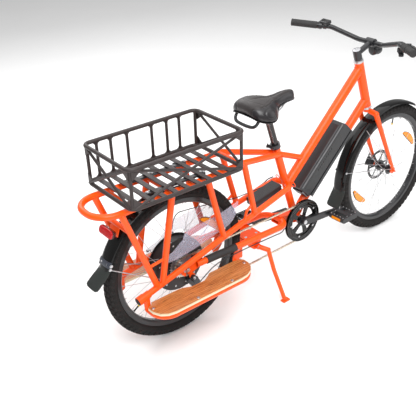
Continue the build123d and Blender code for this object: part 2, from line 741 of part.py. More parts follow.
def frame_bolts():
    """Round-headed bolts of the boards, the basket brackets and the side panels, each its own solid."""
    bolts = []
    for side in (-1, 1):
        for x, y in BOARD_BOLTS:
            seat = Vector(x, side * y, BOARD_TOP_Z - BOLT_HEAD)
            shank = rod(seat - Vector(0, 0, BOARD_T - BOLT_HEAD), seat, 3)
            bolts.append(rod(seat, seat + Vector(0, 0, BOLT_HEAD), 5) + shank)
    for x, y in BRACKET_BOLTS:
        for side in (-1, 1):
            spot = Vector(x, side * y, BRACKET_TOP)
            bolts.append(rod(spot, spot + Vector(0, 0, 3.5), 5.5))
    for x, z in SKIRT_BOLTS:
        for side in (-1, 1):
            bolts.append(rod((x, side * SKIRT_Y[1], z), (x, side * (SKIRT_Y[1] + 9), z), 4.5))
    return bolts


def frame_hardware():
    """Bearing cups, fender strap and stays, and every bolt on the frame."""
    return bearing_cups() + fender_hardware() + frame_bolts()


# ---- basket ----
BRACKET_BOLTS = ((-147, 62), (-44, 62), (111, 62))
BRACKET_TOP = 734.0
SLAT_TOP = 740.2


def basket_ring(z, inset):
    """One rim of the basket: four straight bars and the four bends between them."""
    x0, x1 = BASKET_X[0] + inset, BASKET_X[1] - inset
    y, bend = BASKET_Y - inset, BASKET_CORNER
    bars = []
    for side in (-1, 1):
        bars.append(rod((x0 + bend, side * y, z), (x1 - bend, side * y, z), BASKET_ROD))
        end = x0 if side < 0 else x1
        bars.append(rod((end, -y + bend, z), (end, y - bend, z), BASKET_ROD))
    for end, back in ((x0, 1), (x1, -1)):
        for side in (-1, 1):
            corner = ((end + back * bend, side * y, z), (end, side * y, z), (end, side * (y - bend), z))
            bars.append(bent_bar(corner, bend - 0.01, BASKET_ROD))
    return bars


def basket_frame():
    """Top and bottom rims, corner posts, uprights on the left and crossed braces on the other sides."""
    low_z, top_z = BASKET_Z
    rims = basket_ring(low_z, 2) + basket_ring(top_z, 0)
    x0, x1 = BASKET_X
    y = BASKET_Y
    posts = [(x0 + 9, -y + 9), (x0 + 9, y - 9), (x1 - 9, -y + 9), (x1 - 9, y - 9)]
    bars = [rod((px, py, low_z), (px, py, top_z), 6.5) for px, py in posts]
    for x in (-216, -156, -84, 28, 99, 160):
        bars.append(rod((x, y - 1, low_z), (x, y - 1, top_z), 6))
    parts = rims + [cope(bar, *rims) for bar in bars]
    crossed = (
        ((x0 + 15, -y + 1), (x1 - 15, -y + 1)),
        ((x0 + 1, -y + 15), (x0 + 1, y - 15)),
        ((x1 - 1, -y + 15), (x1 - 1, y - 15)),
    )
    for (ax, ay), (bx, by) in crossed:
        rising = rod((ax, ay, low_z + 2), (bx, by, top_z - 2), 5.5)
        falling = rod((ax, ay, top_z - 2), (bx, by, low_z + 2), 5.5)
        parts.append(cope(rising, *rims, *bars[:4]))
        parts += halves_past(falling, rising, (*rims, *bars[:4]))
    return parts


def halves_past(bar, crossed, neighbours):
    """The two halves of a bar that stops at the bar it crosses."""
    for other in (crossed, *neighbours):
        bar = bar - other
    return sorted(bar.solids(), key=lambda s: -s.volume)[:2]


def basket_slats():
    """Flat slats across the basket's floor, let into the bottom rim."""
    rim_bars = basket_ring(BASKET_Z[0], 2)
    slats = []
    for i in range(9):
        slat = Pos(-224 + 51.5 * i, 0, SLAT_TOP - 3) * Box(20, 2 * BASKET_Y - 8, 6)
        slats.append(cope(slat, *rim_bars))
    return slats


def basket_brackets():
    """Two lengthwise channels that bolt the basket's floor to the rack rails."""
    parts = []
    for side in (-1, 1):
        bar = Pos(-30, side * 62, BRACKET_TOP - 4.4) * Box(290, 18, 8.8)
        parts.append(bar)
        for x in (-150, 90):
            arm = Pos(x, side * 74, 723.4) * Box(26, 42, 3.4)
            parts.append(cope(arm, rail_bar(side)))
    return parts


# ---- fenders, light, skirts ----
FENDER_R = 351.0


def fender_shell(centre, start, arc, half_width=33.0, thick=1.8):
    """An arched strip round the wheel from one angle over an arc."""
    r0, r1 = FENDER_R, FENDER_R + thick
    drop, crown = 9.0, half_width * 0.6
    outline = ((-half_width, r0 - drop), (-crown, r0), (crown, r0), (half_width, r0 - drop),
               (half_width, r1 - drop), (crown, r1), (-crown, r1), (-half_width, r1 - drop))
    strip_solid = wheel_turn(outline, centre, arc)
    # the outline starts at the top of the wheel and sweeps forward; turn it to the start angle
    placed = Pos(*centre) * Rot(0, start, 0) * Pos(*(centre * -1)) * strip_solid
    return placed.solids()[0]


def rear_fender():
    return [fender_shell(AXLE, -73, 60)]


def flap_solid(centre, angle, drop):
    """A rubber flap that hangs on from a fender's low end and flares away from the tyre."""
    top = polar(centre, FENDER_R + 4, angle)
    low = polar(centre, FENDER_R + 50, angle - drop)
    points = []
    for y, spot in ((-30, top), (30, top), (40, low), (-40, low)):
        points.append((spot.X, y, spot.Z))
    face = make_face(Polyline(*points, close=True))
    normal = (low - top).cross(Vector(0, 1, 0)).normalized()
    return extrude(face, 2.4, dir=normal).solids()[0]


def rear_mudflap():
    return [flap_solid(AXLE, 16, 9)]


def fender_hardware():
    """The strap round the rear fender and its two wire stays."""
    outline = ((-35.5, FENDER_R - 9), (-21, FENDER_R + 2.1), (21, FENDER_R + 2.1), (35.5, FENDER_R - 9),
               (37, FENDER_R - 8), (22, FENDER_R + 3.8), (-22, FENDER_R + 3.8), (-37, FENDER_R - 8))
    strap = wheel_turn(outline, AXLE, 2.6)
    strap = (Pos(*AXLE) * Rot(0, -68, 0) * Pos(*(AXLE * -1)) * strap).solids()[0]
    stays = []
    for side in (-1, 1):
        start = polar(AXLE, FENDER_R - 8.6, 20.7, side * 38.2)
        stays.append(rod(start, Vector(-128, side * 70, 346), 2))
    return [strap] + stays


LIGHT_AT = Vector(-296, 0, 599)


def rear_light_housing():
    back = block((LIGHT_AT.X + 8, 0, LIGHT_AT.Z), (14, 86, 34), 20)
    return [back]


def rear_light_lens():
    lens = block((LIGHT_AT.X - 5.5, 0, LIGHT_AT.Z - 4.9), (12.2, 90, 38), 20)
    return [cope(lens, rear_light_housing()[0])]


SKIRT_Y = (53.5, 55.0)
SKIRT_BOLTS = ((208, 442), (-96, 402))
SKIRT_OUTLINE = (
    (-106, 392), (-104, 414), (-75, 424), (-46, 433), (-22, 451), (2, 468), (10, 490), (30, 500), (195, 513),
    (292, 538), (286, 492), (258, 454), (225, 438), (71, 404), (-26, 390))


def spoke_skirts():
    """Clear side panels that keep feet and bags out of the spokes."""
    panels = []
    for side in (-1, 1):
        panel = side_plate(SKIRT_OUTLINE, *sorted((side * SKIRT_Y[0], side * SKIRT_Y[1])))
        if side > 0:
            spot = polar(AXLE, 84, REAR_CALIPER_ANGLE)
            panel = panel - rod((spot.X, 50, spot.Z), (spot.X, 60, spot.Z), 42)
        panels.append(cope(panel))
    return panels


# ---- seat ----
TILT_PIVOT = seat_axis(836)
RAIL_UNDER = 852.5


def seatpost():
    """The post and the round head that the saddle's cradle tilts on."""
    body = rod(seat_axis(430), seat_axis(832), POST_R)
    body = body - rod(seat_axis(429), seat_axis(815), POST_R - 2.2)
    head = disc(TILT_PIVOT, 13, -17, 17)
    return [(body + head).solids()[0]]


def saddle_cradle():
    """The clamp that grips the rails: a cradle on the post's head, a top plate and one bolt."""
    centre = Vector(TILT_PIVOT.X - 1, 0, RAIL_UNDER)
    cradle = Pos(centre.X, 0, RAIL_UNDER - 5) * Box(38, 58, 10)
    top = Pos(centre.X, 0, RAIL_UNDER + 9) * Box(30, 58, 4)
    bolt = rod((centre.X, 0, RAIL_UNDER - 2), (centre.X, 0, RAIL_UNDER + 14), 4)
    return cope(cradle + top + bolt, disc(TILT_PIVOT, 13 + GAP, -30, 30))


def saddle():
    """The padded top with its two rails, their clamp and the carrying loop under the back."""
    def section(x, half, top, low):
        edge = top - 9
        points = ((-half, low), (-half * 0.86, edge), (-half * 0.4, top), (half * 0.4, top),
                  (half * 0.86, edge), (half, low))
        return make_face(Polyline(*[(x, y, z) for y, z in points], close=True))
    stations = ((368, 60, 918, 884), (394, 98, 932, 866), (438, 110, 931, 857), (480, 97, 924, 861),
                (520, 50, 920, 876), (578, 31, 928, 886), (626, 27, 931, 886), (650, 15, 916, 886))
    pad = loft([section(*s) for s in stations], ruled=True)
    rails = []
    for side in (-1, 1):
        points = ((410, side * 38, 876), (440, side * 22, 856), (545, side * 22, 856), (600, side * 12, 889))
        rails.append(cope(bent_bar(points, 14, 3.5), pad))
    loop = bent_bar(((400, -58, 880), (374, -52, 836), (374, 52, 836), (400, 58, 880)), 24, 4.5)
    return [pad.solids()[0]] + rails + [saddle_cradle(), cope(loop, pad)]


# ---- front end ----
def fork():
    """Steerer, crown and two blades down to the axle."""
    steerer = rod(head_axis(-24), head_axis(HEAD_LEN + 62), 14.3)
    crown = rod(head_axis(-28), head_axis(-11.3), 19)
    crown_at = head_axis(-24)
    body = steerer + crown
    for side in (-1, 1):
        shoulder = Vector(crown_at.X + 4, side * 50, crown_at.Z - 12)
        end = Vector(FRONT_AXLE.X - 6, side * 58, FRONT_AXLE.Z + 14)
        body = body + rod((crown_at.X, 0, crown_at.Z), (shoulder.X, side * 56, shoulder.Z), 13)
        body = body + Pos(shoulder.X, side * 52, shoulder.Z) * Sphere(14.5)
        start = Vector(shoulder.X, side * 52, shoulder.Z)
        run = end - start
        body = body + Solid.make_cone(13, 8.6, run.length, Plane(origin=start, z_dir=run))
        plate = disc(FRONT_AXLE, 16, *sorted((side * 51, side * 57)))
        body = body + plate
    body = body - rod((FRONT_AXLE.X, -90, FRONT_AXLE.Z), (FRONT_AXLE.X, 90, FRONT_AXLE.Z), 4.5 + FIT)
    axle = rod((FRONT_AXLE.X, -72, WHEEL_R), (FRONT_AXLE.X, 72, WHEEL_R), 4.5)
    return [body.solids()[0], axle]


def front_hub():
    """Hub shell, flanges, brake disc and axle boss of the front wheel."""
    body = disc(FRONT_AXLE, 16, -48, 48)
    for y in (-34, 26):
        body = body + disc(FRONT_AXLE, 28, y, y + 4)
    body = body + disc(FRONT_AXLE, 22, 34, 44)
    body = cope(body, rod((FRONT_AXLE.X, -60, WHEEL_R), (FRONT_AXLE.X, 60, WHEEL_R), 4.5 + FIT))
    ring = disc(FRONT_AXLE, 80, 40, 42, 66)
    for a in range(0, 360, 60):
        ring = ring + Pos(FRONT_AXLE.X, 41, WHEEL_R) * Rot(0, a, 0) * Pos(45, 0, 0) * Box(50, 2, 9)
    return [cope(body), cope(ring, disc(FRONT_AXLE, 22, 30, 50))]


def front_caliper():
    """The front brake body behind the left blade."""
    body, _ = caliper(FRONT_AXLE, 30, 41, reach=76, width=28)
    return [cope(body, fork()[0])]


def caliper_arm(centre, angle, reach, y_low, lift):
    """The brake's short lever, which swings about the caliper's own axis."""
    spot = polar(centre, reach, angle)
    arm = side_plate(((spot.X - 6, spot.Z), (spot.X + 6, spot.Z), (spot.X + 4 + lift[0], spot.Z + lift[1]),
                      (spot.X - 4 + lift[0], spot.Z + lift[1])), y_low, y_low + 4)
    arm = arm + rod((spot.X, y_low, spot.Z), (spot.X, y_low + 6, spot.Z), 9)
    return [arm - rod((spot.X, y_low - 1, spot.Z), (spot.X, y_low + 8, spot.Z), 3 + FIT)]


def handlebar():
    """Stem, raised and swept-back bar."""
    top = head_axis(HEAD_LEN + 62)
    clamp = head_axis(HEAD_LEN + 42)
    stem = rod(head_axis(HEAD_LEN + 24), top, 19)
    stem = stem - rod(head_axis(HEAD_LEN + 20), head_axis(HEAD_LEN + 63), 14.3)
    bar_at = clamp + Vector(88, 0, 34)
    neck = rod(clamp, bar_at, 13) - rod(head_axis(HEAD_LEN), head_axis(HEAD_LEN + 90), 14.3)
    face = rod(bar_at + Vector(0, -22, 0), bar_at + Vector(0, 22, 0), 19)
    spacer = rod(head_axis(HEAD_LEN + 11.3), head_axis(HEAD_LEN + 24), 18) - rod(
        head_axis(HEAD_LEN), head_axis(HEAD_LEN + 30), 14.3)
    points = [(GRIP_END.X, -GRIP_END.Y, GRIP_END.Z), (1080, -196, 1066), (bar_at.X, -70, bar_at.Z),
              (bar_at.X, 70, bar_at.Z), (1080, 196, 1066), (GRIP_END.X, GRIP_END.Y, GRIP_END.Z)]
    bar = bent_pipe(points, (60, 44, 44, 60), 11.1, 2.2)
    stem_body = (stem + neck + face + spacer) - bent_bar(points, (60, 44, 44, 60), 11.1)
    return [max(stem_body.solids(), key=lambda s: s.volume), cope(bar)]


def grip_frame(side, back):
    """A point on the bar's straight end, so far in from the tip."""
    tip = Vector(GRIP_END.X, side * GRIP_END.Y, GRIP_END.Z)
    inner = Vector(1080, side * 196, 1066)
    return tip + (inner - tip).normalized() * back


def grip_piece(side, start, end, radius, bore=11.1):
    outer = rod(grip_frame(side, start), grip_frame(side, end), radius)
    return outer - rod(grip_frame(side, start + 1), grip_frame(side, end + 1), bore)


def grips():
    left = rod(grip_frame(1, -6), grip_frame(1, 0), 16) + grip_piece(1, 0, 118, 16.5)
    right = rod(grip_frame(-1, -6), grip_frame(-1, 0), 16) + grip_piece(-1, 0, 66, 16.5)
    return [cope(right, rod(grip_frame(-1, 0), grip_frame(-1, 80), 11.1)),
            cope(left, rod(grip_frame(1, 0), grip_frame(1, 130), 11.1))]


def throttle():
    """The twist sleeve beside the right grip."""
    sleeve = grip_piece(-1, 66.4, 118, 17.5, 11.1 + FIT)
    return [cope(sleeve, rod(grip_frame(-1, 60), grip_frame(-1, 130), 11.1 + FIT))]


LEVER_AT = 131.0


def lever_mount(side):
    ring = rod(grip_frame(side, LEVER_AT - 8), grip_frame(side, LEVER_AT + 8), 16)
    ring = ring - rod(grip_frame(side, LEVER_AT - 20), grip_frame(side, LEVER_AT + 20), 11.1)
    at = grip_frame(side, LEVER_AT)
    arm = block((at.X + 20, at.Y, at.Z - 4), (26, 16, 12))
    ears = block((at.X + 38, at.Y, at.Z - 4), (16, 16, 16))
    slot = block((at.X + 40, at.Y, at.Z - 4), (30, 30, 8.4))
    hole = rod((at.X + 40, at.Y, at.Z - 20), (at.X + 40, at.Y, at.Z + 20), 2.5)
    body = ring + (arm - rod(grip_frame(side, 90), grip_frame(side, 170), 14)) + ears
    return cope(body, slot, hole), Vector(at.X + 40, at.Y, at.Z - 4)


def control_mounts():
    """Brake lever mounts with their pivot pins, shifter and display bodies."""
    parts = []
    for side in (-1, 1):
        mount, pivot = lever_mount(side)
        parts.append(mount)
        parts.append(rod(pivot - Vector(0, 0, 8), pivot + Vector(0, 0, 8), 2.5))
    parts.append(shifter_body())
    parts.append(display())
    return parts


SHIFTER_AT = 151.0


def shifter_body():
    """The shifter's clamp and housing under the bar, with the pin its lever turns on."""
    at = grip_frame(-1, SHIFTER_AT)
    bar = rod(grip_frame(-1, SHIFTER_AT - 30), grip_frame(-1, SHIFTER_AT + 30), 11.1)
    ring = rod(grip_frame(-1, SHIFTER_AT - 7), grip_frame(-1, SHIFTER_AT + 7), 15)
    housing = rod(at - Vector(0, 0, 13), at - Vector(0, 0, 28), 17)
    pin = rod(at - Vector(0, 0, 20), at - Vector(0, 0, 37), 3)
    return cope(ring + housing + pin, bar)


def shift_lever():
    """The thumb lever below the shifter's housing."""
    at = grip_frame(-1, SHIFTER_AT)
    low = at.Z - 35
    tip = Vector(at.X - 30, at.Y - 24, low)
    blade = make_face(Polyline((at.X - 8, at.Y + 6, low), (at.X + 6, at.Y - 8, low),
                               (tip.X + 8, tip.Y - 8, low), (tip.X - 8, tip.Y + 6, low), close=True))
    body = extrude(blade, 5, dir=(0, 0, 1)) + rod((at.X, at.Y, low), (at.X, at.Y, low + 6.6), 12)
    body = body + rod((tip.X, tip.Y, low), (tip.X, tip.Y, low + 5), 10.5)
    return [cope(body, rod(at, at - Vector(0, 0, 60), 3 + FIT))]


def display():
    """The small read-out on the bar's left side."""
    at = grip_frame(1, 152)
    case = block((at.X, at.Y, at.Z + 17), (34, 46, 16), -18, 4)
    strap = rod(grip_frame(1, 144), grip_frame(1, 160), 14.5)
    return cope(case + strap, rod(grip_frame(1, 110), grip_frame(1, 190), 11.1))


def brake_lever(side):
    """A two-finger lever that runs out in front of the grip."""
    _, pivot = lever_mount(side)
    tip = grip_frame(side, 26) + Vector(52, side * 4, -8)
    mid = grip_frame(side, 96) + Vector(50, 0, -4)
    outline = [pivot + Vector(-5, side * -4, 0), pivot + Vector(8, side * -5, 0), mid + Vector(8, 0, 0),
               tip + Vector(8, 0, 0), tip + Vector(-4, side * 3, 0), mid + Vector(-7, 0, 0),
               pivot + Vector(-6, side * 6, 0)]
    flat = [(p.X, p.Y, pivot.Z - 3.9) for p in outline]
    blade = extrude(make_face(Polyline(*flat, close=True)), 7.8, dir=(0, 0, 1))
    blade = blade + rod(pivot - Vector(0, 0, 3.9), pivot + Vector(0, 0, 3.9), 7.4)
    return [cope(blade, rod(pivot - Vector(0, 0, 20), pivot + Vector(0, 0, 20), 2.5 + FIT))]


# ---- cables ----
# points each cable runs through, the radii of its bends, and its own radius
CABLES = (
    (((54, -86, 258), (84, -90, 283), (132, -84, 301), (190, -81, 307), (317, -80, 308.5), (488, -80, 303.5),
      (530, -70, 293), (562, -50, 283), (594, -26, 270), (650, -14, 262.5)),
     (40, 90, 300, 900, 1500, 120, 60, 60), 2.2),
    (((0, 88.1, 338), (0, 103, 338), (26, 107, 352), (72, 94.5, 377), (130, 88.9, 388.1), (548, 68.3, 481),
      (570, 68, 500), (585, 46, 513)),
     (14, 40, 60, 200, 60, 24), 2.5),
    (((34, 64, 450), (38, 57.4, 524), (118, 57.4, 516), (298, 57.6, 490), (345, 45, 483), (520, 37, 491)),
     (34, 600, 120, 120), 2.0),
)


def fitting_radii(points, wanted):
    """Each bend's radius, held to what its two runs allow."""
    radii = []
    for i, bend in enumerate(wanted, 1):
        before, after = Vector(points[i]) - Vector(points[i - 1]), Vector(points[i + 1]) - Vector(points[i])
        half_turn = math.radians(before.get_angle(after)) / 2
        radii.append(min(bend, 0.45 * min(before.length, after.length) / math.tan(half_turn)))
    print("cable bends", [round(r, 1) for r in radii])
    return radii


def cables():
    """Cable housings held along the frame: gear, motor and rear brake."""
    return [bent_bar(points, fitting_radii(points, bends), radius) for points, bends, radius in CABLES]


def front_fender():
    shell = fender_shell(FRONT_AXLE, -94, 124)
    flap = flap_solid(FRONT_AXLE, -4.5, 10)
    return [shell, flap]


def bar_centre():
    return head_axis(HEAD_LEN + 42) + Vector(88, 0, 34)


def headlight():
    at = bar_centre() + Vector(34, 0, -38)
    body = Pos(*at) * Rot(0, 90, 0) * Cylinder(26, 44)
    arm = block((at.X - 12, 0, at.Z + 30), (12, 16, 24))
    return [cope(body + arm, rod((at.X - 34, -30, at.Z + 38), (at.X - 34, 30, at.Z + 38), 19))]


NODES = {
    "main_frame": main_frame,
    "rear_stays": rear_stays,
    "rack_struts": rack_struts,
    "rack_rails": rack_rails,
    "frame_plates": frame_plates,
    "frame_hardware": frame_hardware,
    "chainstay_protector": chainstay_protector,
    "seat_clamp": seat_clamp,
    "seat_release_lever": seat_release_lever,
    "battery_rail": battery_rail,
    "battery": battery,
    "controller_box": controller_box,
    "cables": cables,
    "rear_tyre": lambda: tyre(AXLE),
    "rear_rim": lambda: rim(AXLE),
    "rear_spokes": lambda: spokes(AXLE, 119.5 + GAP, 24, lean=14),
    "hub_motor": hub_motor,
    "rear_rotor": rear_rotor,
    "freewheel": freewheel,
    "rear_axle": rear_axle,
    "chain": chain,
    "chainring": chainring,
    "chain_guard": chain_guard,
    "crank_arms": crank_arms,
    "pedal_right": lambda: pedal(-1),
    "pedal_left": lambda: pedal(1),
    "guide_pulley": lambda: pulley(GUIDE_PULLEY),
    "tension_pulley": lambda: pulley(TENSION_PULLEY),
    "derailleur": derailleur,
    "rear_caliper": rear_caliper,
    "rear_caliper_arm": lambda: caliper_arm(AXLE, REAR_CALIPER_ANGLE, 84, 64.4, (-18, 34)),
    "kickstand": kickstand,
    "board_hoops": board_hoops,
    "running_boards": running_boards,
    "basket_frame": basket_frame,
    "basket_slats": basket_slats,
    "basket_brackets": basket_brackets,
    "rear_fender": rear_fender,
    "rear_mudflap": rear_mudflap,
    "rear_light_housing": rear_light_housing,
    "rear_light_lens": rear_light_lens,
    "spoke_skirts": spoke_skirts,
    "seatpost": seatpost,
    "saddle": saddle,
    "fork": fork,
    "front_tyre": lambda: tyre(FRONT_AXLE),
    "front_rim": lambda: rim(FRONT_AXLE),
    "front_spokes": lambda: spokes(FRONT_AXLE, 29 + GAP, 26, lean=40),
    "front_hub": front_hub,
    "front_caliper": front_caliper,
    "front_caliper_arm": lambda: caliper_arm(FRONT_AXLE, 30, 76, 55.4, (10, 36)),
    "handlebar": handlebar,
    "grips": grips,
    "throttle": throttle,
    "control_mounts": control_mounts,
    "shift_lever": shift_lever,
    "brake_lever_right": lambda: brake_lever(-1),
    "brake_lever_left": lambda: brake_lever(1),
    "front_fender": front_fender,
    "headlight": headlight,
}


def main():
    os.makedirs("parts", exist_ok=True)
    made = {name: [s for part in make() for s in part.solids()] for name, make in NODES.items()}
    boxes = [solid.bounding_box() for solids in made.values() for solid in solids]
    middle = (min(box.min.X for box in boxes) + max(box.max.X for box in boxes)) / 2
    print("centred lengthwise at", round(middle, 3))
    for name, solids in made.items():
        export_step(Compound(children=[Pos(-middle, 0, 0) * solid for solid in solids]), f"parts/{name}.step")


if __name__ == "__main__":
    main()
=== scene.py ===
"""Cargo bicycle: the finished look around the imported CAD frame.

Lengths in the helpers below are millimetres in the bicycle's own frame: x forward from the rear axle,
y to the left, h up from the ground. Every object is made in metres in the row frame.
"""
import json
import math

import bmesh
import bpy
from mathutils import Matrix, Vector


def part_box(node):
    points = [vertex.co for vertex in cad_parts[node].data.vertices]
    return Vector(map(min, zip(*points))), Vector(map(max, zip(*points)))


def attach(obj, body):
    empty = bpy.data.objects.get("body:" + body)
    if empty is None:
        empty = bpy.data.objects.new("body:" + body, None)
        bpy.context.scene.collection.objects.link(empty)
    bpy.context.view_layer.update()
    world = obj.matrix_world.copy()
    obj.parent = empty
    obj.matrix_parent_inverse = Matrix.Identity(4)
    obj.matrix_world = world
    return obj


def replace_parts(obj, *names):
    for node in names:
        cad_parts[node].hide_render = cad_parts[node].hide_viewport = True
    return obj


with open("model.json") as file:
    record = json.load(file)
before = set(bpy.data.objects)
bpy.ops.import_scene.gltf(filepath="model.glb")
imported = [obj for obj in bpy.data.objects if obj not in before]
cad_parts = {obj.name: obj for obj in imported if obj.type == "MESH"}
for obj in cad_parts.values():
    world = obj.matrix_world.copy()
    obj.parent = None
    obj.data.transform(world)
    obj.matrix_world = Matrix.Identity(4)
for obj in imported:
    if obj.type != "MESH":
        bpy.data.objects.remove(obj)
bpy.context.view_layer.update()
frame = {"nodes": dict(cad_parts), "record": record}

LOW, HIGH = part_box("rear_tyre")
AXLE_X = (LOW.x + HIGH.x) / 2
MM = 0.001
WHEEL_R = 338.0
WHEELBASE = 1330.0
BB = (684.0, 290.0)  # the crank's axis
SEAT_LEAN = 0.3346  # how far the seat tube leans back for each millimetre up
TUBE_R, SEAT_R, MAIN_R = 12.7, 17.45, 21


def row(x, y, h):
    """A point of the bicycle's own frame in the row frame."""
    return Vector((AXLE_X + x * MM, y * MM, h * MM))


# ---- camera, light, floor ----
CAM_AZIMUTH, CAM_ELEVATION, CAM_ROLL = (math.radians(a) for a in (-39.546, 30.296, -1.076))
CAM_AT = (-1316.7, -1942.9, 1892.3)
CAM_LENS = 59.13


def add_camera():
    az, el = CAM_AZIMUTH, CAM_ELEVATION
    back = Vector((math.sin(az) * math.cos(el), -math.cos(az) * math.cos(el), math.sin(el)))
    side = Vector((math.cos(az), math.sin(az), 0))
    up = back.cross(side)
    right = side * math.cos(CAM_ROLL) + up * math.sin(CAM_ROLL)
    up = up * math.cos(CAM_ROLL) - side * math.sin(CAM_ROLL)
    data = bpy.data.cameras.new("camera")
    data.lens = CAM_LENS
    data.sensor_width = 36
    data.shift_x, data.shift_y = -0.0515, 0.0305
    camera = bpy.data.objects.new("camera", data)
    bpy.context.scene.collection.objects.link(camera)
    matrix = Matrix((right, up, back)).transposed().to_4x4()
    matrix.translation = row(*CAM_AT)
    camera.matrix_world = matrix
    bpy.context.scene.camera = camera
    bpy.context.scene.view_settings.view_transform = "Standard"


def add_light(name, at, target, size, power, tint=(1, 1, 1)):
    data = bpy.data.lights.new(name, "AREA")
    data.shape = "RECTANGLE"
    data.size, data.size_y = size
    data.energy = power
    data.color = tint
    lamp = bpy.data.objects.new(name, data)
    bpy.context.scene.collection.objects.link(lamp)
    lamp.location = Vector(at)
    lamp.rotation_euler = (Vector(target) - Vector(at)).to_track_quat("-Z", "Y").to_euler()


def add_studio():
    add_light("key", (-1.6, -2.2, 3.4), (0, 0, 0.4), (2.4, 2.4), 112)
    add_light("fill", (2.6, -2.6, 2.0), (0.2, 0, 0.5), (2.4, 2.0), 26)
    add_light("back", (0.4, 3.2, 2.8), (0, 0, 0.5), (3.0, 2.0), 44)
    add_light("top", (0, 0.0, 4.2), (0, 0, 0), (7, 7), 200)
    world = bpy.data.worlds.new("studio")
    bpy.context.scene.world = world
    world.use_nodes = True
    sky = world.node_tree.nodes["Background"]
    sky.inputs["Color"].default_value = (1, 1, 1, 1)
    sky.inputs["Strength"].default_value = 0.42


# ---- materials ----
def fill(node, **values):
    """Sets input sockets by name, with _ for a space."""
    for name, value in values.items():
        node.inputs[name.replace("_", " ")].default_value = value


def nodes_of(material):
    material.use_nodes = True
    tree = material.node_tree
    return tree, tree.nodes["Principled BSDF"]


def coords(tree, scale=(1, 1, 1)):
    """Object coordinates, stretched; every piece keeps its vertices in the row frame, so they are metres."""
    source = tree.nodes.new("ShaderNodeTexCoord")
    mapping = tree.nodes.new("ShaderNodeMapping")
    mapping.inputs["Scale"].default_value = scale
    tree.links.new(source.outputs["Object"], mapping.inputs["Vector"])
    return mapping.outputs["Vector"]


def noise(tree, vector, scale, detail=3.0, rough=0.55):
    node = tree.nodes.new("ShaderNodeTexNoise")
    fill(node, Scale=scale, Detail=detail, Roughness=rough)
    tree.links.new(vector, node.inputs["Vector"])
    return node.outputs["Fac"]


def ramp(tree, factor, stops):
    node = tree.nodes.new("ShaderNodeValToRGB")
    band = node.color_ramp
    while len(band.elements) < len(stops):
        band.elements.new(0.5)
    for element, (place, colour) in zip(band.elements, stops):
        element.position = place
        element.color = (*colour, 1)
    tree.links.new(factor, node.inputs["Fac"])
    return node.outputs["Color"]


def spread(tree, factor, low, high):
    """Maps a 0 to 1 texture onto a range of values."""
    node = tree.nodes.new("ShaderNodeMapRange")
    fill(node, To_Min=low, To_Max=high)
    tree.links.new(factor, node.inputs["Value"])
    return node.outputs["Result"]


def bump(tree, height, strength, distance):
    node = tree.nodes.new("ShaderNodeBump")
    fill(node, Strength=strength, Distance=distance)
    tree.links.new(height, node.inputs["Height"])
    return node.outputs["Normal"]


def surface(name, colour, rough, metal=0.0, coat=0.0, mottle=0.12, patches=9.0, grain=900.0, relief=0.15,
            depth=0.0003, stretch=(1, 1, 1), sheen=0.0, specular=0.5, scuff=0.12):
    """A general finish: colour and gloss that vary in soft patches, over a fine surface grain."""
    material = bpy.data.materials.new(name)
    tree, shader = nodes_of(material)
    vector = coords(tree, stretch)
    patch = noise(tree, vector, patches)
    dark = tuple(c * (1 - mottle) for c in colour)
    light = tuple(min(1.0, c * (1 + mottle) + mottle * 0.004) for c in colour)
    tree.links.new(ramp(tree, patch, ((0.32, dark), (0.68, light))), shader.inputs["Base Color"])
    fine = noise(tree, vector, grain, 2.0)
    tree.links.new(spread(tree, noise(tree, vector, patches * 5), rough - scuff * rough,
                          rough + scuff * rough),
                   shader.inputs["Roughness"])
    tree.links.new(bump(tree, fine, relief, depth), shader.inputs["Normal"])
    fill(shader, Metallic=metal, Coat_Weight=coat, Coat_Roughness=0.12, Specular_IOR_Level=specular,
         Sheen_Weight=sheen)
    return material


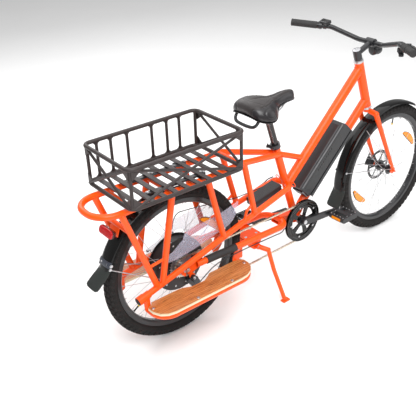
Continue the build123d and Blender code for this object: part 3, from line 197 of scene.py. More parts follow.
def wood(name):
    """Oiled boards: long dark veins, fine pores and slow colour drift along the grain."""
    material = bpy.data.materials.new(name)
    tree, shader = nodes_of(material)
    drift = noise(tree, coords(tree, (2.2, 22, 6)), 3.4, 5.0, 0.6)
    wave = tree.nodes.new("ShaderNodeTexWave")
    wave.bands_direction = "Y"
    fill(wave, Scale=9.0, Distortion=7.5, Detail=4.0, Detail_Scale=1.6)
    tree.links.new(coords(tree, (0.9, 5.5, 1)), wave.inputs["Vector"])
    blend = tree.nodes.new("ShaderNodeMix")
    blend.inputs["Factor"].default_value = 0.42
    tree.links.new(drift, blend.inputs["A"])
    tree.links.new(wave.outputs["Fac"], blend.inputs["B"])
    colour = ramp(tree, blend.outputs["Result"], (
        (0.22, (0.17, 0.045, 0.01)), (0.4, (0.43, 0.14, 0.034)), (0.6, (0.55, 0.2, 0.055)),
        (0.82, (0.64, 0.27, 0.09))))
    where = tree.nodes.new("ShaderNodeNewGeometry")
    split = tree.nodes.new("ShaderNodeSeparateXYZ")
    tree.links.new(where.outputs["Normal"], split.inputs["Vector"])
    upright = tree.nodes.new("ShaderNodeMath")
    upright.operation = "ABSOLUTE"
    tree.links.new(split.outputs["Z"], upright.inputs[0])
    layers = noise(tree, coords(tree, (1, 1, 420)), 1.0, 1.0)
    ply = ramp(tree, layers, ((0.4, (0.62, 0.47, 0.27)), (0.6, (0.82, 0.7, 0.48))))
    face = tree.nodes.new("ShaderNodeMix")
    face.data_type = "RGBA"
    level = ramp(tree, upright.outputs["Value"], ((0.35, (0, 0, 0)), (0.55, (1, 1, 1))))
    tree.links.new(level, face.inputs["Factor"])
    tree.links.new(ply, face.inputs["A"])
    tree.links.new(colour, face.inputs["B"])
    tree.links.new(face.outputs["Result"], shader.inputs["Base Color"])
    pores = noise(tree, coords(tree, (18, 420, 100)), 4.0, 3.0)
    tree.links.new(spread(tree, pores, 0.34, 0.5), shader.inputs["Roughness"])
    tree.links.new(bump(tree, pores, 0.25, 0.0003), shader.inputs["Normal"])
    shader.inputs["Coat Weight"].default_value = 0.25
    return material


def clear(name, colour, rough, through, alpha=1.0, relief=0.05):
    """Clear or tinted plastic."""
    material = bpy.data.materials.new(name)
    tree, shader = nodes_of(material)
    haze = noise(tree, coords(tree), 26.0)
    tree.links.new(spread(tree, haze, rough * 0.6, rough * 1.6), shader.inputs["Roughness"])
    tree.links.new(bump(tree, noise(tree, coords(tree), 5.0, 1.0), relief, 0.0004), shader.inputs["Normal"])
    fill(shader, Base_Color=(*colour, 1), Transmission_Weight=through, IOR=1.49, Alpha=alpha)
    return material


MATERIALS = {
    "orange": surface("orange_paint", (0.95, 0.088, 0.002), 0.36, coat=0.15, specular=0.3,
                      mottle=0.05, grain=700, relief=0.06),
    "bolt": surface("bolt_steel", (0.55, 0.55, 0.56), 0.3, metal=1.0, stretch=(1, 1, 6), grain=600),
    "spoke": surface("spoke_steel", (0.62, 0.62, 0.63), 0.25, metal=1.0, grain=500),
    "rubber": surface("black_rubber", (0.018, 0.018, 0.019), 0.62, grain=1500, relief=0.3),
    "alloy": surface("black_alloy", (0.012, 0.012, 0.014), 0.3, coat=0.15, grain=1400, relief=0.08),
    "plastic": surface("dark_plastic", (0.02, 0.02, 0.022), 0.45, grain=1600, relief=0.35),
    "chain": surface("chain_steel", (0.62, 0.54, 0.42), 0.3, metal=1.0, mottle=0.35, patches=60),
    "coat": surface("basket_coat", (0.034, 0.025, 0.024), 0.42, specular=0.4,
                    mottle=0.14, grain=1700, relief=0.5, depth=0.0004),
    "gloss": surface("gloss_black", (0.004, 0.004, 0.004), 0.08, specular=0.3, grain=300, relief=0.01),
    "tyre": surface("tyre_rubber", (0.011, 0.0095, 0.009), 0.72, specular=0.25,
                    grain=1200, relief=0.35, mottle=0.2, scuff=0.1),
    "rotor": surface("rotor_steel", (0.5, 0.5, 0.51), 0.28, metal=1.0),
    "vinyl": surface("saddle_vinyl", (0.026, 0.021, 0.021), 0.42, specular=0.4,
                     grain=850, relief=0.55, depth=0.0004, sheen=0.1),
    "grip": surface("grip_rubber", (0.022, 0.021, 0.021), 0.66, grain=1300, relief=0.4),
    "red": clear("red_lens", (0.75, 0.008, 0.012), 0.12, 0.35),
    "amber": clear("amber_lens", (0.95, 0.3, 0.01), 0.2, 0.05),
    "clear": clear("clear_sheet", (0.61, 0.6, 0.74), 0.12, 0.0, alpha=0.25, relief=0.0),
    "lamp": clear("lamp_lens", (0.95, 0.97, 1.0), 0.05, 0.9),
    "cream": surface("cream_edge", (0.75, 0.66, 0.48), 0.45, grain=900),
    "wood": wood("board_wood"),
    "grey": surface("grey_stripe", (0.12, 0.12, 0.125), 0.4, grain=1500, relief=0.2),
    "flank": surface("saddle_flank", (0.016, 0.014, 0.016), 0.3, grain=1200, relief=0.2),
    "thread": surface("thread", (0.06, 0.058, 0.056), 0.7, grain=2500, relief=0.5),
    "flap": surface("flap_rubber", (0.022, 0.026, 0.024), 0.55, specular=0.3, grain=1500, relief=0.25),
    "grey_strap": surface("grey_strap", (0.035, 0.04, 0.055), 0.4, grain=1500, relief=0.2),
    "plastic_soft": surface("soft_plastic", (0.014, 0.014, 0.015), 0.38, grain=1900, relief=0.3),
    "red_dark": surface("lamp_case", (0.05, 0.006, 0.006), 0.25, coat=0.4, grain=900),
    "motor": surface("motor_shell", (0.014, 0.012, 0.012), 0.42, specular=0.4, grain=1200, relief=0.2),
    "post": surface("seatpost_anodised", (0.03, 0.027, 0.027), 0.3, metal=0.4, stretch=(1, 1, 0.2),
                    grain=900),
    "cap": surface("valve_cap", (0.75, 0.5, 0.02), 0.4, grain=1500),
    "silver": surface("silver_alloy", (0.5, 0.5, 0.52), 0.34, metal=0.9, grain=900),
}

SLOTS = {
    "orange_paint": "orange", "bolt_steel": "bolt", "black_rubber": "rubber", "black_alloy": "alloy",
    "dark_plastic": "plastic", "chain_steel": "chain", "board_wood": "wood", "basket_coat": "coat",
    "gloss_black": "gloss", "red_lens": "red", "clear_sheet": "clear", "tyre_rubber": "tyre",
    "rotor_steel": "rotor", "saddle_vinyl": "vinyl", "grip_rubber": "grip",
}


def paint(obj, key):
    obj.data.materials.clear()
    obj.data.materials.append(MATERIALS[key])


def paint_frame():
    """Gives each CAD node the finish of its own slot."""
    for part in frame["record"]["subparts"]:
        paint(frame["nodes"][part["node"]], SLOTS[part["material_slot"]])


def add_floor():
    mesh = bpy.data.meshes.new("floor")
    mesh.from_pydata([(-9, -9, 0), (9, -9, 0), (9, 9, 0), (-9, 9, 0)], [], [(0, 1, 2, 3)])
    floor = bpy.data.objects.new("floor", mesh)
    bpy.context.scene.collection.objects.link(floor)
    mesh.materials.append(surface("floor_paint", (0.97, 0.97, 0.97), 0.75, mottle=0.01, patches=1.2,
                                  relief=0.02))


# ---- mesh helpers ----
def build(name, verts, faces, key, body, smooth=True):
    """A finished mesh piece from points in the row frame."""
    mesh = bpy.data.meshes.new(name)
    mesh.from_pydata([tuple(v) for v in verts], [], faces)
    mesh.validate()
    piece = bpy.data.objects.new(name, mesh)
    bpy.context.scene.collection.objects.link(piece)
    fix = bmesh.new()
    fix.from_mesh(mesh)
    bmesh.ops.recalc_face_normals(fix, faces=fix.faces)
    fix.to_mesh(mesh)
    fix.free()
    for polygon in mesh.polygons:
        polygon.use_smooth = smooth
    if smooth:
        mesh.set_sharp_from_angle(angle=math.radians(38))
    mesh.materials.append(MATERIALS[key])
    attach(piece, body)
    return piece


class Shape:
    """Collects points and faces of several small forms, to become one piece."""

    def __init__(self):
        self.verts, self.faces = [], []

    def add(self, verts, faces):
        base = len(self.verts)
        self.verts += verts
        self.faces += [tuple(base + i for i in face) for face in faces]

    def rings(self, rings, closed=False, caps=True):
        """Skins a run of equal rings of points."""
        count = len(rings[0])
        faces = []
        last = len(rings) if closed else len(rings) - 1
        for i in range(last):
            a, b = i * count, (i + 1) % len(rings) * count
            for j in range(count):
                k = (j + 1) % count
                faces.append((a + j, a + k, b + k, b + j))
        if caps and not closed:
            faces.append(tuple(range(count)))
            end = (len(rings) - 1) * count
            faces.append(tuple(end + j for j in reversed(range(count))))
        self.add([p for ring in rings for p in ring], faces)

    def tube(self, path, radius, sides=10, closed=False):
        """A round bar along points; the radius may be one value or one per point."""
        radii = radius if isinstance(radius, (list, tuple)) else [radius] * len(path)
        rings, normal = [], None
        count = len(path)
        for i, point in enumerate(path):
            before = path[i - 1] if (i or closed) else path[i]
            after = path[(i + 1) % count] if (i < count - 1 or closed) else path[i]
            along = (after - before).normalized()
            if normal is None:
                normal = along.orthogonal().normalized()
            normal = (normal - along * normal.dot(along)).normalized()
            other = along.cross(normal)
            rings.append([point + (normal * math.cos(t) + other * math.sin(t)) * radii[i] * MM
                          for t in (math.tau * j / sides for j in range(sides))])
        if closed:
            seam = rings[0][0]
            shift = min(range(sides), key=lambda j: (rings[-1][j] - seam).length)
            if shift:
                # the frame has turned on its way round, so the last faces are joined with that offset
                rings.append(rings[0][-shift:] + rings[0][:-shift])
                self.rings(rings, caps=False)
                return
        self.rings(rings, closed=closed)

    def lathe(self, centre, axis, profile, sides=32):
        """Revolves (along, radius) pairs about an axis; the ends are closed."""
        axis = Vector(axis).normalized()
        normal = axis.orthogonal().normalized()
        other = axis.cross(normal)
        rings = []
        for along, radius in profile:
            rings.append([centre + (axis * along + (normal * math.cos(t) + other * math.sin(t)) * radius) * MM
                          for t in (math.tau * j / sides for j in range(sides))])
        self.rings(rings)

    def slab(self, outline, lift, drop=(0, 0, 0)):
        """A plate: a closed outline of row points pushed along a vector in millimetres."""
        step = Vector(lift) * MM
        start = Vector(drop) * MM
        self.rings([[p + start for p in outline], [p + start + step for p in outline]])

    def bolt(self, at, axis, radius=4.5, height=3.0):
        """A domed socket-head bolt with its washer."""
        self.lathe(at, axis, ((-0.4, radius * 1.5), (0.5, radius * 1.5), (0.7, radius * 1.42), (0.7, radius),
                              (height * 0.7, radius), (height, radius * 0.78), (height, radius * 0.46)), 20)
        self.lathe(at, axis, ((height - 0.01, radius * 0.46), (height * 0.45, radius * 0.44),
                              (height * 0.45, 0.01)), 6)

    def turned(self, centre, section, count):
        """A closed ring about a wheel's axle, from its (radius, y) section."""
        self.rings([[spin(centre, r, math.tau * i / count, y) for r, y in section] for i in range(count)],
                   closed=True)

    def make(self, name, key, body, smooth=True, slot="own"):
        """One finished piece; the slot argument is not used."""
        return build(name, self.verts, self.faces, key, body, smooth)


def soften(piece, width=0.6, segments=2, angle=32):
    """Rounds the hard edges a little, so that they catch the light."""
    modifier = piece.modifiers.new("edges", "BEVEL")
    modifier.width = width * MM
    modifier.segments = segments
    modifier.limit_method = "ANGLE"
    modifier.angle_limit = math.radians(angle)
    modifier.harden_normals = True
    return piece


def swirl(centre, radius, degrees, y=0.0):
    """A row point on a circle about a wheel's axle; the angle runs from straight back up over the top."""
    a = math.radians(degrees)
    return row(centre[0] - radius * math.cos(a), y, centre[1] + radius * math.sin(a))


def spin(centre, radius, t, y):
    """The same, with the angle in radians from straight forward up over the top."""
    return row(centre[0] + radius * math.cos(t), y, centre[1] + radius * math.sin(t))


REAR = (0.0, WHEEL_R)
FRONT = (WHEELBASE, WHEEL_R)


# ---- wheels ----
TREAD_PITCHES = 72


def tread_height(turn, across):
    """How far the rubber stands out: turn counts tread pitches, across runs from -1 to 1 over the section."""
    spot = abs(across)
    phase = (turn + (0.5 if across > 0 else 0.0)) % 1.0
    if spot < 0.1:
        return 1.0 if (turn + 0.25) % 1.0 < 0.68 else 0.1
    if spot < 0.14:
        return 0.1
    if spot < 0.27:
        return 1.0 if (phase + spot * 1.6) % 1.0 < 0.64 else 0.05
    if spot < 0.31:
        return 0.1
    if spot < 0.47:
        return 0.95 if phase < 0.6 else 0.0
    if spot < 0.6:
        return 0.5 if phase < 0.34 else 0.0
    return 0.0


def add_tyre(name, centre, node, body):
    """A knobbly tyre: a plain side wall, ribs near the bead and rows of blocks over the crown."""
    around, across = TREAD_PITCHES * 10, 58
    start, end = -142.0, 142.0
    verts, faces = [], []
    for i in range(around):
        turn = i / 10.0
        for j in range(across + 1):
            a = math.radians(start + (end - start) * j / across)
            share = a / math.radians(150)
            high = tread_height(turn, share)
            girth = 24.4 + 4.4 * high if abs(share) < 0.62 else 26.0
            if 0.62 < abs(share) < 0.66 or 0.8 < abs(share) < 0.83:
                girth += 0.7
            radius = 309.0 + girth * math.cos(a)
            verts.append(swirl(centre, radius, 360.0 * i / around, girth * math.sin(a)))
    width = across + 1
    for i in range(around):
        k = (i + 1) % around
        for j in range(across):
            faces.append((i * width + j, i * width + j + 1, k * width + j + 1, k * width + j))
        faces.append((i * width + across, i * width, k * width, k * width + across))
    piece = build(name, verts, faces, "tyre", body)
    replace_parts(piece, node)


def add_wheel_trim(prefix, centre, body, nipples, valve, reflectors):
    """Spoke nipples, a valve with its cap, and reflectors between the spokes."""
    steel = Shape()
    for i in range(nipples):
        side = 1 if i % 2 else -1
        turn = 360.0 / nipples * i
        start = swirl(centre, 264.6, turn, side * 2.0)
        steel.lathe(start, swirl(centre, 250, turn, side * 3) - start,
                    ((0, 2.4), (1, 2.4), (5, 2.2), (9, 1.7), (10, 1.2)), 10)
    steel.make(prefix + "_spoke_nipples", "bolt", body)
    stem = Shape()
    foot, tip = swirl(centre, 264, valve), swirl(centre, 232, valve)
    stem.lathe(foot, tip - foot,
               ((0, 5), (2, 5), (3, 3.4), (24, 3.2), (26, 3.9), (30, 3.9), (32, 3.0), (33, 1.2)), 16)
    stem.make(prefix + "_valve", "rubber", body)
    cap = Shape()
    low, high = swirl(centre, 236, valve), swirl(centre, 226, valve)
    cap.lathe(low, high - low, ((0, 4.0), (1, 4.4), (7, 4.2), (9, 3.2), (10, 1.0)), 16)
    cap.make(prefix + "_valve_cap", "cap", body)
    for k, turn in enumerate(reflectors):
        lens, bed = Shape(), Shape()
        rings, back = [], []
        for step in range(17):
            a = turn - 16 + 2 * step
            half = 15.0 * math.sin(math.pi * (step + 1.6) / 19.2) ** 0.7
            mid = 202 + 2 * step
            rings.append([swirl(centre, mid + r, a, y) for r, y in
                          ((-half, -4.2), (half, -4.2), (half, 4.2), (-half, 4.2))])
            back.append([swirl(centre, mid + r, a, y) for r, y in
                         ((-half - 2, -2.4), (half + 2, -2.4), (half + 2, 2.4), (-half - 2, 2.4))])
        lens.rings(rings)
        bed.rings(back)
        soften(lens.make(f"{prefix}_reflector_lens_{k}", "amber", body), 0.8)
        soften(bed.make(f"{prefix}_reflector_bed_{k}", "plastic", body), 0.6)


def add_rotor(name, centre, node, body, y_low, outer, inner, hub, bolts_at):
    """A brake disc: a wavy, drilled ring on six swept arms, with its bolts."""
    disc = Shape()
    thick = 2.0
    mid = (outer + inner) / 2
    bands = ((outer, mid + 3.2), (mid - 3.2, inner))
    for high, low in bands:
        rings = []
        for i in range(180):
            t = math.tau * i / 180
            wave = 0.9 * math.sin(12 * t)
            high_r = high + (wave - 0.9 if high == outer else 0)
            low_r = low + (-wave if low == inner else 0)
            rings.append([spin(centre, r, t, y) for r, y in
                          ((high_r, y_low), (high_r, y_low + thick), (low_r, y_low + thick), (low_r, y_low))])
        disc.rings(rings, closed=True)
    for i in range(36):
        if i % 3 == 2:
            continue
        t = math.tau * i / 36
        web = [spin(centre, r, t + d, y_low) for r, d in
               ((mid + 3.4, -0.045), (mid + 3.4, 0.035), (mid - 3.4, 0.055), (mid - 3.4, -0.025))]
        disc.slab(web, (0, thick, 0))
    for i in range(6):
        t = math.tau * i / 6
        arm = [spin(centre, r, t + d, y_low) for r, d in
               ((inner + 1, 0.30), (inner + 1, 0.42), ((inner + hub) / 2, 0.16), (hub - 1, 0.17),
                (hub - 1, -0.17),
                ((inner + hub) / 2, 0.02))]
        disc.slab(arm, (0, thick, 0))
    disc.turned(centre, ((hub, y_low), (hub, y_low + thick), (hub - 13, y_low + thick), (hub - 13, y_low)),
                72)
    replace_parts(disc.make(name, "rotor", body), node)
    heads = Shape()
    for i in range(6):
        heads.bolt(spin(centre, hub - 6, math.tau * i / 6, bolts_at), (0, 1, 0), 3.0, 2.4)
    heads.make(name + "_bolts", "bolt", body)


def add_motor_trim():
    """The motor's domed cover with its ribs and ring of screws."""
    for name, y, side, profile in (
            ("right", -24, -1,
             ((-0.5, 111), (0.5, 111), (1.2, 108), (1.6, 92), (3.2, 88), (3.8, 60), (6.0, 52),
                                (7.0, 34), (8.4, 26))),
            ("left", 28, 1, ((-0.5, 111), (0.5, 111), (1.4, 107), (2.2, 90), (4.6, 86), (6.2, 56), (10.0, 48),
                             (12.0, 30), (15, 26), (15.5, 22.1)))):
        cover = Shape()
        cover.lathe(row(0, y, WHEEL_R), (0, side, 0), profile, 96)
        cover.make("motor_cover_" + name, "motor", "rear_wheel", slot="black_alloy")
    screws = Shape()
    for i in range(12):
        t = math.tau * (i + 0.5) / 12
        screws.bolt(spin(REAR, 100, t, -25.2), (0, -1, 0), 2.6, 2.2)
        screws.bolt(spin(REAR, 99, t, 29.6), (0, 1, 0), 2.6, 2.2)
    screws.make("motor_screws", "bolt", "rear_wheel")


# ---- chain ----
PITCH = 12.7
CHAIN_Y = -50.0


def pitch_radius(teeth):
    return PITCH / (2 * math.sin(math.pi / teeth))


CHAIN_STOPS = (
    ((0.0, WHEEL_R), pitch_radius(20), 1),
    (BB, pitch_radius(46), 1),
    ((66.0, 205.0), pitch_radius(11), 1),
    ((30.0, 262.0), pitch_radius(11), -1),
)


def tangent(a, b):
    """The straight run of chain from wheel a to wheel b, as two (x, h) points."""
    (ca, ra, sa), (cb, rb, sb) = a, b
    dx, dz = cb[0] - ca[0], cb[1] - ca[1]
    heading = math.atan2(dz, dx) - math.asin((ra * sa - rb * sb) / math.hypot(dx, dz))
    left = (-math.sin(heading), math.cos(heading))
    return ((ca[0] + ra * sa * left[0], ca[1] + ra * sa * left[1]),
            (cb[0] + rb * sb * left[0], cb[1] + rb * sb * left[1]))


def chain_line():
    """Closely spaced points all the way round the chain."""
    runs = [tangent(CHAIN_STOPS[i], CHAIN_STOPS[(i + 1) % 4]) for i in range(4)]
    line = []
    for i, (centre, radius, sense) in enumerate(CHAIN_STOPS):
        start, end = runs[i - 1][1], runs[i][0]
        a0 = math.atan2(start[1] - centre[1], start[0] - centre[0])
        a1 = math.atan2(end[1] - centre[1], end[0] - centre[0])
        sweep = (a0 - a1) % math.tau if sense > 0 else (a1 - a0) % math.tau
        steps = max(2, int(sweep * radius / 2))
        for k in range(steps + 1):
            a = a0 - sense * sweep * k / steps
            line.append(Vector((centre[0] + radius * math.cos(a), centre[1] + radius * math.sin(a))))
        (ax, ah), (bx, bh) = runs[i]
        steps = max(2, int(math.hypot(bx - ax, bh - ah) / 2))
        line += [Vector((ax + (bx - ax) * k / steps, ah + (bh - ah) * k / steps)) for k in range(1, steps)]
    return line


def add_chain():
    """Plates, pins and rollers, one pitch after another."""
    line = chain_line()
    lengths = [0.0]
    for i in range(len(line)):
        lengths.append(lengths[-1] + (line[(i + 1) % len(line)] - line[i]).length)
    total = lengths[-1]
    count = round(total / PITCH / 2) * 2
    pins, k = [], 0
    for i in range(count):
        want = total * i / count
        while lengths[k + 1] < want:
            k += 1
        share = (want - lengths[k]) / (lengths[k + 1] - lengths[k])
        pins.append(line[k].lerp(line[(k + 1) % len(line)], share))
    plates, rollers = Shape(), Shape()
    for i, a in enumerate(pins):
        b = pins[(i + 1) % count]
        along = (b - a).normalized()
        up = Vector((-along.y, along.x))
        outline = []
        for end, sense in ((a, -1), (b, 1)):
            for t in range(-80, 81, 32):
                turn = math.radians(t)
                outline.append(end + along * sense * 3.9 * math.cos(turn) + up * sense * 3.9 * math.sin(turn))
        waist = [(a + b) / 2 + up * 2.7, (a + b) / 2 - up * 2.7]
        outline = outline[:6] + [waist[1]] + outline[6:] + [waist[0]]
        reach = (2.55, 3.35) if i % 2 else (1.7, 2.5)
        for side in (-1, 1):
            low = min(side * reach[0], side * reach[1])
            points = [row(p.x, CHAIN_Y + low, p.y) for p in outline]
            plates.slab(points, (0, reach[1] - reach[0], 0))
        at = row(a.x, CHAIN_Y - 3.55, a.y)
        rollers.lathe(at, (0, 1, 0), ((0, 1.6), (0.3, 1.9), (6.8, 1.9), (7.1, 1.6)), 10)
        rollers.lathe(row(a.x, CHAIN_Y - 1.6, a.y), (0, 1, 0), ((0, 3.6), (3.2, 3.6)), 12)
    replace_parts(plates.make("chain_plates", "chain", "frame", smooth=False), "chain")
    rollers.make("chain_rollers", "silver", "frame", slot="chain_steel")


# ---- saddle ----
def along(rows, x, column):
    """A smooth value at x from rows of (x, value, value ...)."""
    if x <= rows[0][0]:
        return rows[0][column]
    if x >= rows[-1][0]:
        return rows[-1][column]
    i = next(k for k in range(len(rows) - 1) if rows[k][0] <= x <= rows[k + 1][0])
    x0, x1 = rows[i][0], rows[i + 1][0]
    v0, v1 = rows[i][column], rows[i + 1][column]
    before, after = rows[max(0, i - 1)], rows[min(len(rows) - 1, i + 2)]
    m0 = (v1 - before[column]) / (x1 - before[0])
    m1 = (after[column] - v0) / (after[0] - x0)
    t, span = (x - x0) / (x1 - x0), x1 - x0
    return ((2 * t ** 3 - 3 * t ** 2 + 1) * v0 + (t ** 3 - 2 * t ** 2 + t) * span * m0
            + (3 * t ** 2 - 2 * t ** 3) * v1 + (t ** 3 - t ** 2) * span * m1)


# x, half width, crown height, lowest edge
SADDLE = ((366, 34, 903, 893), (369, 55, 912, 882), (376, 75, 922, 872), (388, 90, 929, 866),
          (404, 100, 931, 861),
          (424, 107, 931, 858), (444, 108, 930, 857), (462, 102, 928, 858), (480, 90, 925, 862),
          (500, 71, 921, 868), (520, 51, 919, 875), (545, 38, 921, 880), (578, 31, 926, 884),
          (608, 28, 929, 885),
          (628, 25, 930, 885), (641, 19, 926, 887), (648, 12, 917, 892), (651, 6, 906, 898))


def saddle_section(x, shrink=0.0, points=36):
    """A closed ring: the padded arch over the top and the shallow hollow underneath."""
    half, crown, low = (along(SADDLE, x, column) for column in (1, 2, 3))
    half, crown, low = half - shrink, crown - shrink, low + shrink
    square = 2.7 if x < 500 else 2.2
    ring = []
    for i in range(points + 1):
        t = math.pi * i / points
        c, s = math.cos(t), math.sin(t)
        y = half * math.copysign(abs(c) ** (2 / square), c)
        z = low + (crown - low) * abs(s) ** (2 / 2.15)
        ring.append(row(x, y, z))
    inner = max(half - 7, half * 0.6)
    for share, lift in ((-0.99, -0.8), (-0.93, 1.5), (-0.5, 4.5), (0, 6.0), (0.5, 4.5), (0.93, 1.5),
                        (0.99, -0.8)):
        ring.append(row(x, (inner if abs(share) < 0.95 else half) * share, low + lift))
    return ring


def puff(piece, pressure, cap, frames=20):
    """Inflates a closed form a little with cloth, then keeps the result as plain mesh."""
    scene = bpy.context.scene
    before = [v.co.copy() for v in piece.data.vertices]
    modifier = piece.modifiers.new("puff", "CLOTH")
    settings = modifier.settings
    settings.use_pressure = True
    settings.uniform_pressure_force = pressure
    settings.effector_weights.gravity = 0
    settings.quality = 4
    settings.mass = 0.3
    modifier.point_cache.frame_start = 1
    modifier.point_cache.frame_end = frames
    for number in range(1, frames + 1):
        scene.frame_set(number)
    shaped = piece.evaluated_get(bpy.context.evaluated_depsgraph_get())
    moved = [v.co.copy() for v in shaped.data.vertices]
    piece.modifiers.remove(modifier)
    scene.frame_set(1)
    for vertex, start, end in zip(piece.data.vertices, before, moved):
        step = end - start
        if step.length > cap * MM:
            step = step.normalized() * cap * MM
        vertex.co = start + step


def remeshed(piece, voxel):
    modifier = piece.modifiers.new("remesh", "REMESH")
    modifier.mode = "VOXEL"
    modifier.voxel_size = voxel * MM
    modifier.use_smooth_shade = True
    bake(piece)


def bake(piece):
    """Applies every modifier on a piece."""
    shaped = piece.evaluated_get(bpy.context.evaluated_depsgraph_get())
    mesh = bpy.data.meshes.new_from_object(shaped)
    piece.modifiers.clear()
    old = piece.data
    piece.data = mesh
    bpy.data.meshes.remove(old)


def seam_offset(x):
    """How far out the saddle's long seams run."""
    return along(((366, 40), (392, 62), (420, 70), (450, 66), (484, 46), (520, 27), (560, 17), (610, 13),
                  (651, 9)), x, 1)


def groove(distance, width, depth):
    return -depth * math.exp(-(distance / width) ** 2)


def add_saddle():
    """Foam under two kinds of vinyl, with a sunk channel, sewn seams and embossed flank panels."""
    shape = Shape()
    stations = [366 + 285 * (i / 60) for i in range(61)]
    shape.rings([saddle_section(x, 2.2) for x in stations])
    pad = shape.make("saddle_pad", "vinyl", "saddle")
    remeshed(pad, 4.5)
    puff(pad, 4.0, 4.0)
    smooth = pad.modifiers.new("smooth", "SUBSURF")
    smooth.levels = smooth.render_levels = 1
    bake(pad)
    low_box, high_box = row(366, -110, 857), row(651, 110, 932)
    normals = [v.normal.copy() for v in pad.data.vertices]
    for vertex, normal in zip(pad.data.vertices, normals):
        x, y = (vertex.co.x - AXLE_X) / MM, abs(vertex.co.y) / MM
        if normal.z > -0.2:
            lift = groove(y - seam_offset(x), 2.2, 2.4)
            if 410 < x < 600:
                ends = min(1.0, (x - 410) / 25, (600 - x) / 30)
                lift += groove(y, 7.5, 4.5 * ends)
            if y > seam_offset(x) + 3 and x < 500:
                lift += groove(math.hypot((x - 436) / 1.5, vertex.co.z / MM - 893) - 19, 2.6, 1.3)
            if y < seam_offset(x):
                lift += groove(x - (398 + y * y * 0.006), 2.2, 1.8) + groove(x - (508 - y * y * 0.02), 2.2,
                                                                             1.6)
            vertex.co += normal * lift * MM
        vertex.co.x = min(max(vertex.co.x, low_box.x), high_box.x)
        vertex.co.y = min(max(vertex.co.y, low_box.y), high_box.y)
        vertex.co.z = min(max(vertex.co.z, low_box.z), high_box.z)
    pad.data.materials.clear()
    for key in ("vinyl", "flank"):
        pad.data.materials.append(MATERIALS[key])
    for polygon in pad.data.polygons:
        x, y = (polygon.center.x - AXLE_X) / MM, abs(polygon.center.y) / MM
        polygon.material_index = 1 if y > seam_offset(x) else 0
        polygon.use_smooth = True
    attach(pad, "saddle")
    add_saddle_trim(pad)


def level_box(x, half, y0, y1, h):
    """A level rectangle's corners."""
    return [row(x - half, y0, h), row(x - half, y1, h), row(x + half, y1, h), row(x + half, y0, h)]


def add_saddle_trim(pad):
    """Stitches, the base shell, rails with their clamp and its bolts, and the moulded carrying loop."""
    stitches = Shape()
    tops = {}
    for vertex in pad.data.vertices:
        if vertex.normal.z > 0.3:
            tops[(round((vertex.co.x - AXLE_X) / MM / 3), round(vertex.co.y / MM / 3))] = vertex.co.z / MM
    for side in (-1, 1):
        for k in range(46):
            x = 388 + 5.4 * k
            for shift in (-3.2, 3.2):
                y = side * (seam_offset(x) + shift)
                high = tops.get((round(x / 3), round(y / 3)))
                if high is None:
                    continue
                ahead = tops.get((round((x + 3.2) / 3), round(side * (seam_offset(x + 3.2) + shift) / 3)),
                                 high)
                stitches.tube([row(x, y, high - 0.2), row(x + 1.6, y, (high + ahead) / 2 + 0.35),
                               row(x + 3.2, side * (seam_offset(x + 3.2) + shift), ahead - 0.2)], 0.42, 6)
    stitches.make("saddle_stitching", "thread", "saddle", slot="saddle_vinyl")
    shell = Shape()
    rings = []
    for i in range(41):
        x = 374 + 268 * i / 40
        half, low = along(SADDLE, x, 1) - 2.5, along(SADDLE, x, 3)
        ring = []
        for j in range(13):
            share = -1 + j / 6
            ring.append(row(x, half * share,
                            low + 1.0 + 3.5 * (1 - share * share) - (0.6 if j % 12 == 0 else 0)))
        for j in range(13):
            share = 1 - j / 6
            ring.append(row(x, half * share * 0.98, low - 2.2 + 4.0 * (1 - share * share)))
        rings.append(ring)
    shell.rings(rings)
    soften(shell.make("saddle_base", "plastic", "saddle"), 0.8)
    rails = Shape()
    for side in (-1, 1):
        knots = ((404, 40, 872), (420, 36, 868), (434, 26, 858), (450, 22, 855.6), (500, 22, 855.6),
                 (540, 22, 855.6),
                 (560, 20, 861), (580, 16, 873), (600, 12, 884))
        path = [row(x, side * y, z) for x, y, z in knots]
        rails.tube(smooth_path(path, 6), 3.5, 12)
    rails.make("saddle_rails", "bolt", "saddle")
    clamp = Shape()
    pivot_x = BB[0] - (836 - BB[1]) * SEAT_LEAN
    for side in (-1, 1):
        ears = []
        for turn in range(24):
            a = math.tau * turn / 24
            ears.append(row(pivot_x + 17 * math.cos(a), side * 18.5, 841 + 12.5 * math.sin(a)))
        clamp.slab(ears, (0, side * 9.5, 0))
        clamp.bolt(row(pivot_x, side * 28, 838), (0, side, 0), 4.2, 4)
        clamp.slab(level_box(pivot_x, 20, side * 16, side * 28, 849), (0, 0, 11))
    clamp.slab(level_box(pivot_x, 15, -28, 28, 859.5), (0, 0, 4))
    soften(clamp.make("saddle_clamp", "alloy", "saddle"), 0.8)
    loop = Shape()
    knots = ((404, -62, 872), (392, -66, 861), (381, -62, 846), (375, -48, 837.5), (372.5, -24, 835),
             (372, 0, 834.5),
             (372.5, 24, 835), (375, 48, 837.5), (381, 62, 846), (392, 66, 861), (404, 62, 872))
    path = smooth_path([row(*k) for k in knots], 6)
    loop.tube(path, [6.0 + 1.0 * math.sin(math.pi * i / (len(path) - 1)) for i in range(len(path))], 14)
    loop.make("saddle_carry_loop", "plastic", "saddle")
    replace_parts(pad, "saddle")


def smooth_path(points, steps):
    """Catmull-Rom points through a row of knots."""
    path = []
    for i in range(len(points) - 1):
        p0, p1, p2 = points[max(0, i - 1)], points[i], points[i + 1]
        p3 = points[min(len(points) - 1, i + 2)]
        for k in range(steps):
            t = k / steps
            path.append(0.5 * (2 * p1 + (p2 - p0) * t + (2 * p0 - 5 * p1 + 4 * p2 - p3) * t * t
                               + (3 * p1 - p0 - 3 * p2 + p3) * t ** 3))
    path.append(points[-1])
    return path


# ---- frame tubes: where they run, for the weld beads ----
def seat_at(h):
    return Vector((BB[0] - (h - BB[1]) * SEAT_LEAN, 0, h))


